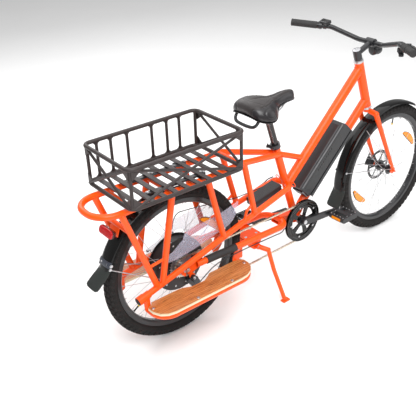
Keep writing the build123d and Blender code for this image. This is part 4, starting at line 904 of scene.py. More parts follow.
def main_at(distance, depth=0.0):
    """A point along the main tube, and below it."""
    return Vector((638.4 + 0.712 * distance + 0.702 * depth, 0, 490.6 + 0.702 * distance - 0.712 * depth))


def stay_at(x, side):
    share = (x + 250) / 840
    return Vector((x, side * (92 - 42 * share), 308 + 186 * share))


def rail_at(x, side):
    share = (x + 290) / 600
    return Vector((x, side * (92 - 20 * share), 708 + 3 * share))


def head_at(distance):
    return Vector((1142.6 - 0.342 * distance, 0, 721 + 0.9397 * distance))


def meet(start, direction, radius, other, other_dir, other_radius, sides=40):
    """The closed line where a tube that runs towards another tube reaches its skin."""
    direction, other_dir = direction.normalized(), other_dir.normalized()
    normal = direction.orthogonal().normalized()
    cross = direction.cross(normal)
    curve = []
    for i in range(sides):
        t = math.tau * i / sides
        p = start + (normal * math.cos(t) + cross * math.sin(t)) * radius - other
        d = direction - other_dir * direction.dot(other_dir)
        q = p - other_dir * p.dot(other_dir)
        a, b, c = d.dot(d), 2 * q.dot(d), q.dot(q) - other_radius ** 2
        reach = (-b - math.sqrt(max(0.0, b * b - 4 * a * c))) / (2 * a)
        curve.append(p + other + direction * reach)
    return curve


def bead(shape, curve, girth=2.4):
    """A weld bead of overlapping ripples along a closed line of frame points."""
    path = [row(*p) for p in curve]
    count = len(path)
    total = sum((path[i] - path[i - 1]).length for i in range(count)) / MM
    fine = []
    for i in range(count):
        a, b = path[i], path[(i + 1) % count]
        steps = max(1, int((b - a).length / MM / 1.4))
        fine += [a.lerp(b, k / steps) for k in range(steps)]
    ripples = max(8, round(total / 4.6))
    radii = [girth * (1 + 0.16 * math.sin(math.tau * ripples * i / len(fine))) for i in range(len(fine))]
    shape.tube(fine, radii, 8, closed=True)


STRUT_ENDS = ((-283, -152), (-54, -128), (117, 198), (309, 378))
SEAT_BEAD = 2.0  # less than the seat tube's wall, so that a bead never reaches the seatpost


def add_welds():
    """Beads where the frame's tubes meet."""
    welds = Shape()
    seat_dir = seat_at(500) - seat_at(400)
    for side in (-1, 1):
        rail_dir, stay_dir = rail_at(300, side) - rail_at(0, side), stay_at(300, side) - stay_at(0, side)
        for top_x, low_x in STRUT_ENDS:
            top, low = rail_at(top_x, side), stay_at(low_x, side)
            middle = (top + low) / 2
            bead(welds, meet(middle, top - low, TUBE_R, top, rail_dir, TUBE_R), 2.2)
            bead(welds, meet(middle, low - top, TUBE_R, low, stay_dir, TUBE_R), 2.2)
        for point, ahead in ((rail_at(309, side), Vector((562, side * 14, 651))),
                             (stay_at(480, side), stay_at(520, side))):
            bead(welds, meet(point, ahead - point, TUBE_R, seat_at(600), seat_dir, SEAT_R), SEAT_BEAD)
        for x in (-228, -54, 117, 296):
            outer = rail_at(x, side)
            inner = Vector((outer.x, 0, outer.z))
            bead(welds, meet(inner, outer - inner, 9.5, outer, rail_dir, TUBE_R), 1.8)
    bead(welds, meet(main_at(60), main_at(0) - main_at(60), MAIN_R, seat_at(500), seat_dir, SEAT_R),
         SEAT_BEAD)
    head_dir = head_at(100) - head_at(0)
    bead(welds, meet(main_at(400), main_at(500) - main_at(400), MAIN_R, head_at(100), head_dir, MAIN_R), 2.8)
    welds.make("frame_welds", "orange", "frame")


# ---- basket ----
UPRIGHTS = (-216, -156, -84, 28, 99, 160)  # the rods up the basket's left side


def add_basket_trim():
    """Corner gussets, weld beads at the rods' ends and the bolts that hold the floor."""
    low_z, top_z = 740.0, 891.0
    x0, x1, half = -270.0, 244.0, 152.0
    plates = Shape()
    corners = [((x0 + 9, -half), (1, 0)), ((x1 - 9, -half), (-1, 0))]
    for x in (x0, x1):
        for side in (-1, 1):
            corners.append(((x, side * (half - 9)), (0, -side)))
    for (x, y), (ix, iy) in corners:
        out = Vector((0, 1 if y > 0 else -1, 0)) if ix else Vector((1 if x > 0 else -1, 0, 0))
        for z, up in ((low_z + 6, 1), (top_z - 6, -1)):
            outline = [row(x, y, z), row(x + ix * 44, y + iy * 44, z),
                       row(x + ix * 40, y + iy * 40, z + up * 6),
                       row(x + ix * 8, y + iy * 8, z + up * 30), row(x, y, z + up * 34)]
            plates.slab(outline, out * 2.4, out * -2.2)
    for x in UPRIGHTS:
        for z, up in ((low_z + 7, 1), (top_z - 7, -1)):
            for ahead in (-1, 1):
                outline = [row(x + ahead * 5, half - 1.6, z), row(x + ahead * 17, half - 1.6, z),
                           row(x + ahead * 9, half - 1.6, z + up * 5),
                           row(x + ahead * 5, half - 1.6, z + up * 14)]
                plates.slab(outline, (0, 2.6, 0))
    for x in (-224 + 51.5 * i for i in range(9)):
        for side in (-1, 1):
            outline = [row(x - 18, side * 146, 739.4), row(x + 18, side * 146, 739.4),
                       row(x + 10, side * 137, 739.4),
                       row(x - 10, side * 137, 739.4)]
            plates.slab(outline, (0, 0, 1.6))
    soften(plates.make("basket_gussets", "coat", "frame"), 0.7)
    beads = Shape()
    for x in UPRIGHTS:
        for z, sense in ((low_z, 1), (top_z, -1)):
            middle = Vector((x, half - 1, 815))
            rim = Vector((x, half - (2 if sense > 0 else 0), z))
            bead(beads, meet(middle, Vector((0, 0, -sense)), 6, rim, Vector((1, 0, 0)), 8, 20), 1.3)
    beads.make("basket_beads", "coat", "frame")
    bolts = Shape()
    for x in (-147, -44, 111):
        for side in (-1, 1):
            bolts.bolt(row(x, side * 62, 737.2), (0, 0, 1), 4.6, 2.6)
    bolts.make("basket_bolts", "bolt", "frame")


# ---- boards ----
def add_board_trim():
    """Low domed bolts through the boards."""
    bolts = Shape()
    head = ((0, 7.4), (1.0, 7.4), (1.5, 6.8), (1.5, 4.6), (2.8, 4.2), (3.3, 3.2), (3.3, 2.1), (1.6, 2.0),
            (1.6, 0.01))
    for x, y in ((-209, 131), (-36, 192), (139, 190), (260, 126)):
        for side in (-1, 1):
            bolts.lathe(row(x, side * y, 279.4), (0, 0, 1), head, 24)
    bolts.make("board_bolts", "bolt", "frame")


# ---- light, fenders ----
def rounded(points, radius, steps=6):
    """A closed outline with its corners rounded."""
    out = []
    for i, corner in enumerate(points):
        corner = Vector(corner)
        before, after = Vector(points[i - 1]), Vector(points[(i + 1) % len(points)])
        a, b = before - corner, after - corner
        reach = min(radius, a.length * 0.49, b.length * 0.49)
        start, end = corner + a.normalized() * reach, corner + b.normalized() * reach
        for k in range(steps + 1):
            t = k / steps
            out.append((1 - t) ** 2 * start + 2 * t * (1 - t) * corner + t * t * end)
    return out


def box(a0, a1, b0, b1, radius, steps):
    """A rectangle's outline with rounded corners."""
    return rounded(((a0, b0), (a1, b0), (a1, b1), (a0, b1)), radius, steps)


def tilted(x, h, degrees):
    """Turns (forward, y, up) offsets about a point on the bicycle's middle plane."""
    a = math.radians(degrees)

    def place(fore, y, up):
        return row(x + fore * math.cos(a) - up * math.sin(a), y, h + fore * math.sin(a) + up * math.cos(a))
    return place


def plate_stack(place, outline, layers):
    """Rings of one outline at several depths: (depth, (share of its width, share of its height))."""
    return [[place(depth, y * wide, up * high) for y, up in outline] for depth, (wide, high) in layers]


def add_rear_light():
    """A long rounded lens with an inner band, in its dark housing, with two fixing nuts."""
    place = tilted(-296, 599, -20)
    oval = box(-43, 43, -16, 16, 15, 8)
    lens = Shape()
    lens.rings(plate_stack(place, oval, (
        (1, (1, 1)), (-6, (1, 1)), (-9, (0.975, 0.94)), (-10.6, (0.93, 0.82)), (-11, (0.86, 0.62)),
        (-10.2, (0.84, 0.55)), (-10.6, (0.8, 0.42)))))
    glass = lens.make("tail_lamp_lens", "red", "frame")
    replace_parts(glass, "rear_light_lens")
    optics = Shape()
    for i in range(15):
        y = -34 + 68 * i / 14
        rib = [(y - 1.6, -8.5), (y + 1.6, -8.5), (y + 1.6, 8.5), (y - 1.6, 8.5)]
        optics.rings(plate_stack(place, rib, ((-9.6, (1, 1)), (-11.4, (1, 0.9)))))
    optics.make("tail_lamp_ribs", "red", "frame")
    back = Shape()
    back.rings(plate_stack(place, oval, (
        (15, (0.8, 0.72)), (14, (0.9, 0.86)), (6, (0.97, 0.95)), (2, (1.03, 1.08)), (-3, (1.03, 1.08)),
        (-3, (1.0, 1.0)))))
    for y in (-14, 14):
        back.lathe(place(14, y, 4), place(1, 0, 0) - place(0, 0, 0), ((0, 5), (7, 5), (8, 3.5)), 6)
    housing = back.make("tail_lamp_housing", "red_dark", "frame", slot="dark_plastic")
    soften(housing, 0.5)
    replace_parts(housing, "rear_light_housing")


FENDER_SECTION = ((-34, -9.6), (-34.4, -11.2), (-33.2, -11.0), (-32.6, -8.6), (-30, -5.2), (-25, -2.2),
                  (-18, -0.2),
                  (-9, 0.8), (0, 1.1), (9, 0.8), (18, -0.2), (25, -2.2), (30, -5.2), (32.6, -8.6),
                  (33.2, -11.0),
                  (34.4, -11.2), (34, -9.6), (33.2, -7.4), (30.8, -3.4), (25.6, -0.2), (18.4, 1.9),
                  (9.1, 2.6), (0, 2.8),
                  (-9.1, 2.6), (-18.4, 1.9), (-25.6, -0.2), (-30.8, -3.4), (-33.2, -7.4))
FENDER_R = 351.0


def fender_piece(name, centre, start, end, body, node):
    """A smooth mudguard with rolled edges; the angles run from straight back up over the top."""
    shape = Shape()
    steps = int(abs(end - start) / 1.5)
    rings = []
    for i in range(steps + 1):
        turn = start + (end - start) * i / steps
        edge = min(i, steps - i)
        tuck = 1.0 - (0.16 * (1 - edge / 4) ** 2 if edge < 4 else 0)
        rings.append([swirl(centre, FENDER_R + r, turn, y * tuck) for y, r in FENDER_SECTION])
    shape.rings(rings)
    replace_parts(shape.make(name, "gloss", body), node)


def flap_piece(name, centre, turn, drop, body):
    """A soft rubber flap: a cuff round the mudguard's end that runs out into a round-cornered tongue."""
    shape = Shape()
    rings = []
    count, reach = 22, 42
    for i in range(count + 1):
        t = i / count
        angle = turn + 3.2 - (drop + 3.2) * t
        flare = reach * max(0.0, (t - 0.12) / 0.88) ** 1.35
        arch = 10.5 * (1 - t) ** 1.2 + 1.5
        round_end = math.sqrt(max(0.0, 1 - max(0.0, (t - 0.86) / 0.14) ** 2.4))
        half = (35.2 + 4.6 * math.sin(min(1.0, t * 1.3) * math.pi / 2)) * (0.7 + 0.3 * round_end)
        rib = 1.1 * math.exp(-((t - 0.16) / 0.03) ** 2)
        outer, inner = [], []
        for j in range(17):
            s = -1 + j / 8
            sag = arch * abs(s) ** 2.2
            radius = FENDER_R + 3.6 + flare - sag + rib
            outer.append(swirl(centre, radius, angle, half * s))
            inner.append(swirl(centre, radius - 3.0 - 0.6 * (1 - t), angle, half * s * 0.985))
        rings.append(outer + inner[::-1])
    shape.rings(rings)
    return shape.make(name, "flap", body, slot="black_rubber")


def add_fenders():
    """Both mudguards with their flaps, the rear strap, the bolts and the front stays."""
    fender_piece("rear_mudguard", REAR, 17, 77, "frame", "rear_fender")
    flap = flap_piece("rear_flap", REAR, 16.5, 9.2, "frame")
    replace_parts(flap, "rear_mudflap")
    fender_piece("front_mudguard", FRONT, -4, 120, "steering", "front_fender")
    flap_piece("front_flap", FRONT, -4.5, 9.5, "steering")
    strap = Shape()
    rings = []
    outer = FENDER_SECTION[16:] + FENDER_SECTION[:1]
    for turn in (21.3, 21.7, 24.9, 25.3):
        lift = 2.3 if turn in (21.7, 24.9) else 1.4
        section = [(y * 1.115, r + lift) for y, r in outer] + [(y, r - 0.4) for y, r in reversed(outer)]
        rings.append([swirl(REAR, FENDER_R + r, turn, y) for y, r in section])
    strap.rings(rings)
    soften(strap.make("mudguard_strap", "grey_strap", "frame", slot="dark_plastic"), 0.5)
    bolts = Shape()
    for side in (-1, 1):
        at = swirl(REAR, FENDER_R - 7.5, 23.2, side * 37.6)
        out = swirl(REAR, FENDER_R - 7.0, 23.2, side * 42) - at
        bolts.bolt(at, out, 4.4, 3)
        at = swirl(REAR, FENDER_R - 8.6, 20.7, side * 36.4)
        bolts.bolt(at, (0, side, 0), 4.4, 4)
        at = swirl(FRONT, FENDER_R - 6, 14, side * 33.6)
        bolts.bolt(at, (0, side, 0), 3.6, 3)
    at = swirl(REAR, FENDER_R + 3.8, 23.3, 12)
    bolts.bolt(at, at - row(0, 12, WHEEL_R), 3.4, 2.6)
    bolts.make("mudguard_bolts", "bolt", "frame")
    stays = Shape()
    for side in (-1, 1):
        for turn in (14, 52):
            stays.tube([swirl(FRONT, FENDER_R - 8, turn, side * 33.8), row(WHEELBASE - 8, side * 60.5, 350)],
                       1.6, 8)
    stays.make("front_guard_stays", "bolt", "steering")


# ---- battery, controller ----
def battery_at(along_tube, y, deep):
    p = main_at(along_tube, deep)
    return row(p.x, y, p.z)


def add_battery_trim():
    """A grey top stripe, raised side panels with a seam, an end cap, a key lock, vents and a foot cover."""
    stripe, panel, seam = Shape(), Shape(), Shape()
    for side in (-1, 1):
        face = [battery_at(a, side * 44.6, d) for a, d in box(6, 352, 52, 61, 3, 3)]
        stripe.slab(face, (0, side * 0.9, 0))
        face = [battery_at(a, side * 44.2, d) for a, d in
                rounded(((16, 70), (318, 70), (300, 124), (34, 124), (16, 104)), 9, 5)]
        panel.slab(face, (0, side * 1.6, 0))
        seam.tube([battery_at(a, side * 44.9, 65.5) for a in range(8, 352, 8)], 0.9, 8)
    stripe.make("battery_stripe", "grey", "battery", slot="dark_plastic")
    soften(panel.make("battery_panels", "plastic_soft", "battery", slot="dark_plastic"), 1.0, 3)
    seam.make("battery_seam", "gloss", "battery", slot="dark_plastic")
    cap = Shape()
    outline = box(-42, 42, 47, 131, 8, 4)
    rings = []
    for a, grow in ((-1.6, 0.95), (0.4, 1.0), (5.5, 1.0)):
        rings.append([battery_at(a, y * grow * 1.07, 88.5 + (d - 88.5) * grow * 1.07) for y, d in outline])
    cap.rings(rings)
    soften(cap.make("battery_end_cap", "plastic", "battery"), 0.8)
    lock = Shape()
    lock.lathe(battery_at(330, 44.8, 92), (0, 1, 0),
               ((0, 8.5), (1.6, 8.5), (2.2, 7.5), (2.2, 4.6), (1.2, 4.2), (1.2, 0.01)), 28)
    lock.make("battery_lock", "silver", "battery", slot="dark_plastic")
    vents = Shape()
    for i in range(9):
        for side in (-1, 1):
            face = [battery_at(120 + 14 * i + da, side * 45.6, 78 + dd)
                    for da, dd in ((0, 0), (7, 0), (2, 8), (-5, 8))]
            vents.slab(face, (0, side * 0.5, 0))
    vents.make("battery_vents", "gloss", "battery", slot="dark_plastic")
    foot = Shape()
    face = [battery_at(-6.4, y, d) for y, d in box(-31, 31, 88, 136, 5, 4)]
    foot.slab(face, main_at(4) - main_at(0))
    foot.make("battery_foot_cover", "silver", "frame", slot="dark_plastic")


def add_controller_trim():
    """Rounded end caps with screws and the sockets its leads go into."""
    place = tilted(488, 478, 12.5)
    caps, plugs = Shape(), Shape()
    for end in (-1, 1):
        outline = box(-31, 31, -17, 17, 5, 4)
        caps.rings([[place(end * d, y * g, u * g) for y, u in outline]
                    for d, g in ((74.6, 1.02), (76.6, 1.02), (77.6, 0.96))])
        for y, u in ((-26, -12), (26, -12), (-26, 12), (26, 12)):
            caps.lathe(place(end * 77.4, y, u), place(end, 0, 0) - place(0, 0, 0),
                       ((0, 3), (1.2, 2.8), (1.2, 1.5), (0.4, 1.4)), 14)
    for y in (-18, -4, 10):
        plugs.lathe(place(77.5, y, -2), place(1, 0, 0) - place(0, 0, 0),
                    ((0, 5), (3, 5), (3.4, 4), (9, 3.6), (10, 2.4)), 18)
    soften(caps.make("controller_caps", "plastic", "frame"), 0.4)
    plugs.make("controller_sockets", "rubber", "frame")


# ---- drive ----
RING_BOLT_R = 78.5
PEDAL_Y = 149
CRANK_LEN = 170


def add_crank_trim():
    """Two glossy guard rings with stepped faces and pads, the spider, chainring bolts and spindle bolts."""
    rings = Shape()
    for profile in (
            ((104, -54.8), (104, -56.6), (102.6, -57.8), (98, -57.9), (96.5, -57.2), (84, -57.4), (82, -58.0),
             (76, -58.0), (74, -57.0), (74, -54.8)),
            ((103, -42.8), (103, -44.6), (101, -45.4), (80, -45.4), (78, -44.6), (78, -42.8))):
        rings.turned(BB, profile, 120)
    for i in range(5):
        a = math.radians(72 * i)
        spot = row(BB[0] - RING_BOLT_R * math.cos(a), -58.6, BB[1] + RING_BOLT_R * math.sin(a))
        rings.lathe(spot, (0, 1, 0), ((0, 5.6), (0.8, 6.2), (15.6, 6.2), (16.0, 5)), 20)
    piece = rings.make("guard_rings", "gloss", "crank", slot="black_alloy")
    soften(piece, 0.5)
    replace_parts(piece, "chain_guard")
    holes = Shape()
    for i in range(10):
        a = math.radians(36 * i + 18)
        outline = [spin(BB, 90 + dr, a + da, -57.3) for dr, da in
                   ((-3, -0.22), (-3, 0.22), (0, 0.25), (3, 0.22), (3, -0.22), (0, -0.25))]
        holes.slab(outline, (0, -0.9, 0))
    holes.make("guard_pads", "plastic_soft", "crank", slot="black_alloy")
    web = Shape()
    for i in range(5):
        a = math.radians(72 * i)
        outline = [spin(BB, r, -a + d, -54.2) for r, d in
                   ((18, -0.6), (40, -0.24), (66, -0.2), (75, -0.27), (75, 0.27), (66, 0.2), (40, 0.24),
                    (18, 0.6))]
        web.slab(outline, (0, 6.6, 0))
    web.turned(BB, ((77, -54.0), (77, -47.4), (68, -47.4), (66.5, -49), (66.5, -52.4), (68, -54.0)), 90)
    soften(web.make("spider_arms", "gloss", "crank", slot="black_alloy"), 1.2, 3)
    bolts = Shape()
    for i in range(5):
        a = math.radians(72 * i)
        spot = row(BB[0] - RING_BOLT_R * math.cos(a), -58.4, BB[1] + RING_BOLT_R * math.sin(a))
        bolts.bolt(spot, (0, -1, 0), 3.4, 1.6)
    for side, face in ((-1, 74), (1, 68)):
        bolts.bolt(row(BB[0], side * face, BB[1]), (0, side, 0), 7.5, 3)
    bolts.make("crank_bolts", "bolt", "crank")


def add_pedals():
    """Pins, end caps and amber reflectors on each platform."""
    tilt = math.radians(2.0)
    for side, name in ((-1, "right"), (1, "left")):
        eye = (BB[0] - side * CRANK_LEN * math.cos(tilt), BB[1] - side * CRANK_LEN * math.sin(tilt))
        pins, glow, rim = Shape(), Shape(), Shape()
        for x in (-44, -15, 15, 44):
            for y in (-36, -18, 0, 18, 36):
                if abs(x) == 15 and abs(y) != 36:
                    continue
                for up in (-1, 1):
                    pins.lathe(row(eye[0] + x * 0.95, side * PEDAL_Y + y, eye[1] + up * 12.6), (0, 0, up),
                               ((0, 2.6), (0.6, 2.6), (0.8, 1.7), (2.4, 1.6), (2.8, 1.1)), 10)
        for end in (-1, 1):
            face = [row(eye[0] + end * 48.7, side * PEDAL_Y + y, eye[1] + u) for y, u in
                    box(-26, 26, -7, 7, 3, 3)]
            glow.slab(face, (end * 1.8, 0, 0))
            face = [row(eye[0] + end * 48.0, side * PEDAL_Y + y, eye[1] + u) for y, u in
                    box(-30, 30, -10, 10, 4, 3)]
            rim.slab(face, (end * 1.6, 0, 0))
        pins.make(f"pedal_pins_{name}", "bolt", f"pedal_{name}")
        soften(glow.make(f"pedal_reflectors_{name}", "amber", f"pedal_{name}"), 0.5)
        soften(rim.make(f"pedal_reflector_beds_{name}", "plastic", f"pedal_{name}"), 0.5)


# ---- controls ----
TIP = (975.0, 342.0, 1078.0)
BEND = (1080.0, 196.0, 1066.0)


def grip_at(side, back):
    """A point on the bar's straight end, so far in from the tip, in frame millimetres."""
    tip, inner = Vector((TIP[0], side * TIP[1], TIP[2])), Vector((BEND[0], side * BEND[1], BEND[2]))
    return tip + (inner - tip).normalized() * back


def sleeve(shape, side, profile, sides=36, waves=0, wave=0.0):
    """A turned sleeve about the bar's end; waves ripple its surface along its length."""
    start = grip_at(side, 0)
    direction = (grip_at(side, 1) - start).normalized()
    normal = Vector((0, 0, 1))
    normal = (normal - direction * normal.dot(direction)).normalized()
    cross = direction.cross(normal)
    rings = []
    for back, radius in profile:
        ring = []
        for j in range(sides):
            t = math.tau * j / sides
            r = radius + (wave * math.cos(waves * t) if waves else 0)
            p = start + direction * back + (normal * math.cos(t) + cross * math.sin(t)) * r
            ring.append(row(*p))
        rings.append(ring)
    shape.rings(rings)


def ribs(start, end, radius, pitch, rise):
    """(distance, radius) pairs of a ribbed sleeve with rounded ends."""
    profile = [(start, radius - 3), (start + 0.8, radius - 1)]
    steps = int((end - start - 4) / (pitch / 4))
    for k in range(steps):
        back = start + 2 + (end - start - 4) * k / steps
        profile.append((back, radius + rise * (0.5 - 0.5 * math.cos(math.tau * (back - start) / pitch))))
    return profile + [(end - 0.8, radius - 1), (end, radius - 3)]


def add_grips():
    """Ribbed grips with end caps, the twist throttle's sleeve and their inner collars."""
    shape = Shape()
    sleeve(shape, 1, ribs(-5.5, 117.5, 15.6, 5.2, 0.85))
    sleeve(shape, -1, ribs(-5.5, 65.6, 15.6, 5.2, 0.85))
    for side in (-1, 1):
        sleeve(shape, side, ((-6, 8), (-5.8, 14), (-4, 16), (-1, 16.4), (1, 15)))
    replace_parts(shape.make("grip_sleeves", "grip", "steering"), "grips")
    twist = Shape()
    sleeve(twist, -1, ribs(66.8, 117.6, 16.5, 7.2, 0.9), 48, 12, 0.35)
    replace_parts(twist.make("throttle_sleeve", "grip", "throttle"), "throttle")
    collars = Shape()
    for side in (-1, 1):
        sleeve(collars, side, ((118.6, 14), (118.8, 16), (122.0, 16), (122.4, 14)))
    collars.make("grip_collars", "alloy", "steering")


def add_display():
    """The read-out's glass, its bezel and three buttons."""
    at = grip_at(1, 152)
    place = tilted(at.x, at.z + 17, 18)
    bezel, glass, keys = Shape(), Shape(), Shape()
    face = [place(f, at.y + y, 7.9) for f, y in box(-16, 10.5, -22, 22, 4, 4)]
    up = place(0, 0, 1) - place(0, 0, 0)
    bezel.slab(face, up / MM * 0.5)
    face = [place(f, at.y + y, 8.3) for f, y in box(-7, 9, -19, 19, 2, 3)]
    glass.slab(face, up / MM * 0.3)
    for y in (-12, 0, 12):
        keys.lathe(place(-11.5, at.y + y, 8.2), up, ((0, 3.4), (0.9, 3.4), (1.3, 2.8), (1.4, 0.01)), 18)
    soften(bezel.make("display_bezel", "plastic", "steering"), 0.5)
    glass.make("display_glass", "gloss", "steering", slot=None)
    keys.make("display_keys", "grey", "steering", slot="dark_plastic")


def add_headlight():
    """Lamp body with cooling fins, a bezel, the reflector bowl and the front glass."""
    bar = head_at(285) + Vector((88, 0, 34))
    at = row(bar.x + 34 - 22, 0, bar.z - 38)
    body = Shape()
    profile = [(0.4, 14), (1.2, 19), (3.5, 22)]
    for k in range(5):
        start = 5 + 4.4 * k
        profile += [(start, 22.2), (start + 0.3, 24.6), (start + 2.6, 24.6), (start + 2.9, 22.2)]
    profile += [(28.5, 23), (31, 25.6), (42, 25.9), (43.6, 25.4), (43.8, 22.6), (41.5, 22.2), (36, 14),
                (34, 4),
                (33.8, 0.01)]
    body.lathe(at, (1, 0, 0), profile, 48)
    shell = body.make("lamp_body", "alloy", "steering", slot="dark_plastic")
    bracket = Shape()
    bracket.slab([row(bar.x + 34 - 18, y, bar.z - 38 + z) for y, z in
                  box(-7, 7, 18, 40, 3, 3)], (12, 0, 0))
    soften(bracket.make("lamp_bracket", "alloy", "steering", slot="dark_plastic"), 0.8)
    bowl = Shape()
    bowl.lathe(at, (1, 0, 0),
               ((35.6, 4), (36.4, 13), (41.6, 21.8), (42.0, 22.0), (41.7, 22.2), (36.0, 13.6), (34.9, 4)), 48)
    bowl.make("lamp_reflector", "silver", "steering")
    glass = Shape()
    glass.lathe(at, (1, 0, 0), ((41.8, 22.3), (42.4, 22.4), (43.2, 16), (43.6, 8), (43.7, 0.01)), 48)
    glass.make("lamp_glass", "lamp", "steering")
    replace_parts(shell, "headlight")


def add_stem_trim():
    """Faceplate bolts, top cap, headset rings, the levers' pivots and their clamp screws."""
    bolts = Shape()
    bar = head_at(285) + Vector((88, 0, 34))
    for y in (-14, 14):
        for up in (-12, 12):
            bolts.bolt(row(bar.x + 14.5, y, bar.z + up), (1, 0, 0), 2.6, 3)
    top = head_at(305)
    axis = (head_at(1) - head_at(0)).normalized()
    bolts.bolt(row(*(top + axis)), axis, 4.2, 3.4)
    for side in (-1, 1):
        at = grip_at(side, 131)
        bolts.bolt(row(at.x + 40, at.y, at.z + 4), (0, 0, 1), 3.2, 2.2)
        bolts.bolt(row(at.x - 2, at.y, at.z - 15.6), (0, 0, -1), 2.6, 2.0)
    bolts.make("stem_bolts", "bolt", "steering")
    cap = Shape()
    cap.lathe(row(*top), axis, ((-0.5, 17.6), (1.0, 17.6), (2.0, 16), (2.2, 6), (1.0, 5.5), (1.0, 0.01)), 40)
    for low, radius in ((243.5, 22.4), (254.5, 18.6), (-0.8, 22.5), (-11.4, 22.3)):
        cap.lathe(row(*head_at(low)), axis,
                  ((0, radius - 1), (0.5, radius), (1.4, radius), (1.9, radius - 1)), 48)
    cap.make("headset_rings", "silver", "steering", slot="black_alloy")


# ---- cables held along the frame ----
CABLES = (
    (((54, -86, 258), (84, -90, 283), (132, -84, 301), (190, -81, 307), (317, -80, 308.5), (488, -80, 303.5),
      (530, -70, 293), (562, -50, 283), (594, -26, 270), (650, -14, 262.5)), 2.2),
    (((0, 88.1, 338), (0, 103, 338), (26, 107, 352), (72, 94.5, 377), (130, 88.9, 388.1), (548, 68.3, 481),
      (570, 68, 500), (585, 46, 513)), 2.5),
    (((34, 64, 450), (38, 57.4, 524), (118, 57.4, 516), (298, 57.6, 490), (345, 45, 483), (520, 37, 491)),
     2.0),
)


def add_cables():
    """Smooth housings along the same points as the CAD's."""
    first = None
    for k, (points, radius) in enumerate(CABLES):
        curve = bpy.data.curves.new(f"cable_{k}", "CURVE")
        curve.dimensions = "3D"
        curve.bevel_depth = radius * MM
        curve.bevel_resolution = 4
        curve.resolution_u = 10
        curve.use_fill_caps = True
        spline = curve.splines.new("NURBS")
        spline.points.add(len(points) - 1)
        for knot, point in zip(spline.points, points):
            knot.co = (*row(*point), 1)
        spline.order_u = 3
        spline.use_endpoint_u = True
        piece = bpy.data.objects.new(f"cable_{k}", curve)
        bpy.context.scene.collection.objects.link(piece)
        curve.materials.append(MATERIALS["rubber"])
        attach(piece, "frame")
        first = first or piece
    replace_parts(first, "cables")


# ---- small parts ----
TICK_R = 15.206  # barely proud of the post, so that the ticks slide into the seat tube


def add_seatpost_trim():
    """A scale of plain ticks down the post's back, and a collar where the saddle's head sits."""
    ticks, collar = Shape(), Shape()
    lean = Vector((-SEAT_LEAN, 0, 1)).normalized()
    back = Vector((-0.76, -0.6, -0.2543)).normalized()
    across = lean.cross(back).normalized()
    for k in range(18):
        middle = seat_at(712 + 6.0 * k)
        reach = math.radians(15 if k % 5 else 25)
        rings = []
        for step in range(9):
            turn = reach * (step / 4 - 1)
            out = back * math.cos(turn) + across * math.sin(turn)
            rings.append([row(*(middle + out * r + lean * z)) for r, z in
                          ((15.0, -0.8), (TICK_R, -0.8), (TICK_R, 0.8), (15.0, 0.8))])
        ticks.rings(rings)
    ticks.make("seatpost_scale", "silver", "seatpost", slot="black_alloy")
    collar.lathe(row(*seat_at(812)), lean, ((0, 15.3), (1, 16.6), (10, 17.2), (14, 16.4), (15, 14)), 40)
    collar.make("seatpost_collar", "alloy", "seatpost")


def add_stand_trim():
    """The stand's pivot bolts, its bracket's and the dropouts' bolts, and its rubber feet."""
    bolts = Shape()
    for side in (-1, 1):
        bolts.bolt(row(408, side * 56, 264), (0, side, 0), 6, 4)
    bolts.make("stand_bolts", "bolt", "kickstand")
    plate_bolts = Shape()
    for x in (362, 422):
        for side in (-1, 1):
            plate_bolts.bolt(row(x, side * 22, 316), (0, 0, 1), 4.2, 3)
    for side in (-1, 1):
        for x, h in ((276, 316), (286, 262)):
            plate_bolts.bolt(row(x, side * 71, h), (0, side, 0), 4.4, 3)
        plate_bolts.bolt(row(-9, side * 74, 331), (0, side, 0), 4.0, 2.5)
    plate_bolts.bolt(row(26, -88, 290), (0, -1, 0), 5.5, 4)
    plate_bolts.make("bracket_bolts", "bolt", "frame")
    feet = Shape()
    for side in (-1, 1):
        feet.slab([row(471 + x, side * 168 + y, 0.4) for x, y in box(-19, 19, -10, 10, 5, 4)], (0, 0, 2.6))
    feet.make("stand_feet", "rubber", "kickstand")


def add_socket_plugs():
    """Black plugs in the open rear ends of the long stays."""
    plugs = Shape()
    for side in (-1, 1):
        end, ahead = stay_at(-250, side), stay_at(-200, side)
        axis = (end - ahead).normalized()
        plugs.lathe(row(*(end - axis * 3)), axis,
                    ((0, 12), (3.2, 15.2), (4.4, 15.4), (5.4, 14.2), (5.4, 6), (4.2, 5), (4.2, 0.01)), 32)
    plugs.make("stay_plugs", "plastic", "frame")


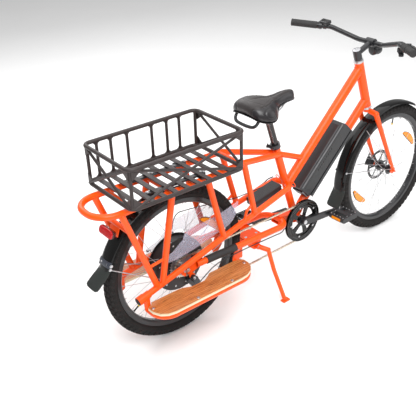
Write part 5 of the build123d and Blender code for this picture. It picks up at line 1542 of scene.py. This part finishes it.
def add_calipers():
    """A round cap and two mounting bolts on each brake body."""
    for name, body, centre, angle, reach, outer in (
            ("rear", "frame", REAR, 128, 84, 64), ("front", "steering", FRONT, 30, 76, 55)):
        cap, screws = Shape(), Shape()
        cap.lathe(swirl(centre, reach, angle, outer), (0, 1, 0), ((-1, 15), (0.6, 15), (1.6, 13), (1.8, 9)),
                  36)
        cap.make(name + "_brake_cap", "alloy", body)
        for offset in (-14, 14):
            screws.bolt(swirl(centre, reach + 12, angle + offset, outer - 0.5), (0, 1, 0), 3.4, 3)
        screws.make(name + "_brake_bolts", "bolt", body)


def round_edges():
    """Softens the hard CAD edges of the carried-over nodes."""
    for node, width in (
            ("running_boards", 1.6), ("controller_box", 0.8), ("frame_plates", 0.8), ("crank_arms", 2.0),
            ("chainring", 0.3), ("derailleur", 1.2), ("rear_caliper", 1.2), ("front_caliper", 1.2),
            ("kickstand", 1.2), ("pedal_left", 1.6), ("pedal_right", 1.6), ("brake_lever_left", 1.6),
            ("brake_lever_right", 1.6), ("control_mounts", 1.0), ("basket_slats", 0.9),
            ("basket_brackets", 0.8), ("battery", 1.4), ("battery_rail", 0.8), ("seat_clamp", 0.6),
            ("seat_release_lever", 1.0), ("shift_lever", 0.8), ("handlebar", 0.6)):
        soften(frame["nodes"][node], width, 2, 40)


add_camera()
add_studio()
add_floor()
paint_frame()
for node_name, finish in (("chainring", "alloy"), ("freewheel", "silver"), ("rear_axle", "bolt"),
                          ("hub_motor", "motor"), ("seatpost", "post")):
    paint(frame["nodes"][node_name], finish)
add_tyre("tyre_rear", REAR, "rear_tyre", "rear_wheel")
add_tyre("tyre_front", FRONT, "front_tyre", "front_wheel")
add_wheel_trim("rear", REAR, "rear_wheel", 24, -33.0, (148.0,))
add_wheel_trim("front", FRONT, "front_wheel", 26, 97.0, (148.0, 328.0))
add_rotor("rear_brake_disc", REAR, "rear_rotor", "rear_wheel", 48, 90, 74, 34, 49.8)
add_motor_trim()
add_chain()
add_saddle()
add_welds()
add_basket_trim()
add_board_trim()
add_rear_light()
add_fenders()
add_battery_trim()
add_controller_trim()
add_crank_trim()
add_pedals()
add_grips()
add_display()
add_headlight()
add_stem_trim()
add_cables()
add_seatpost_trim()
add_stand_trim()
add_socket_plugs()
add_calipers()
round_edges()
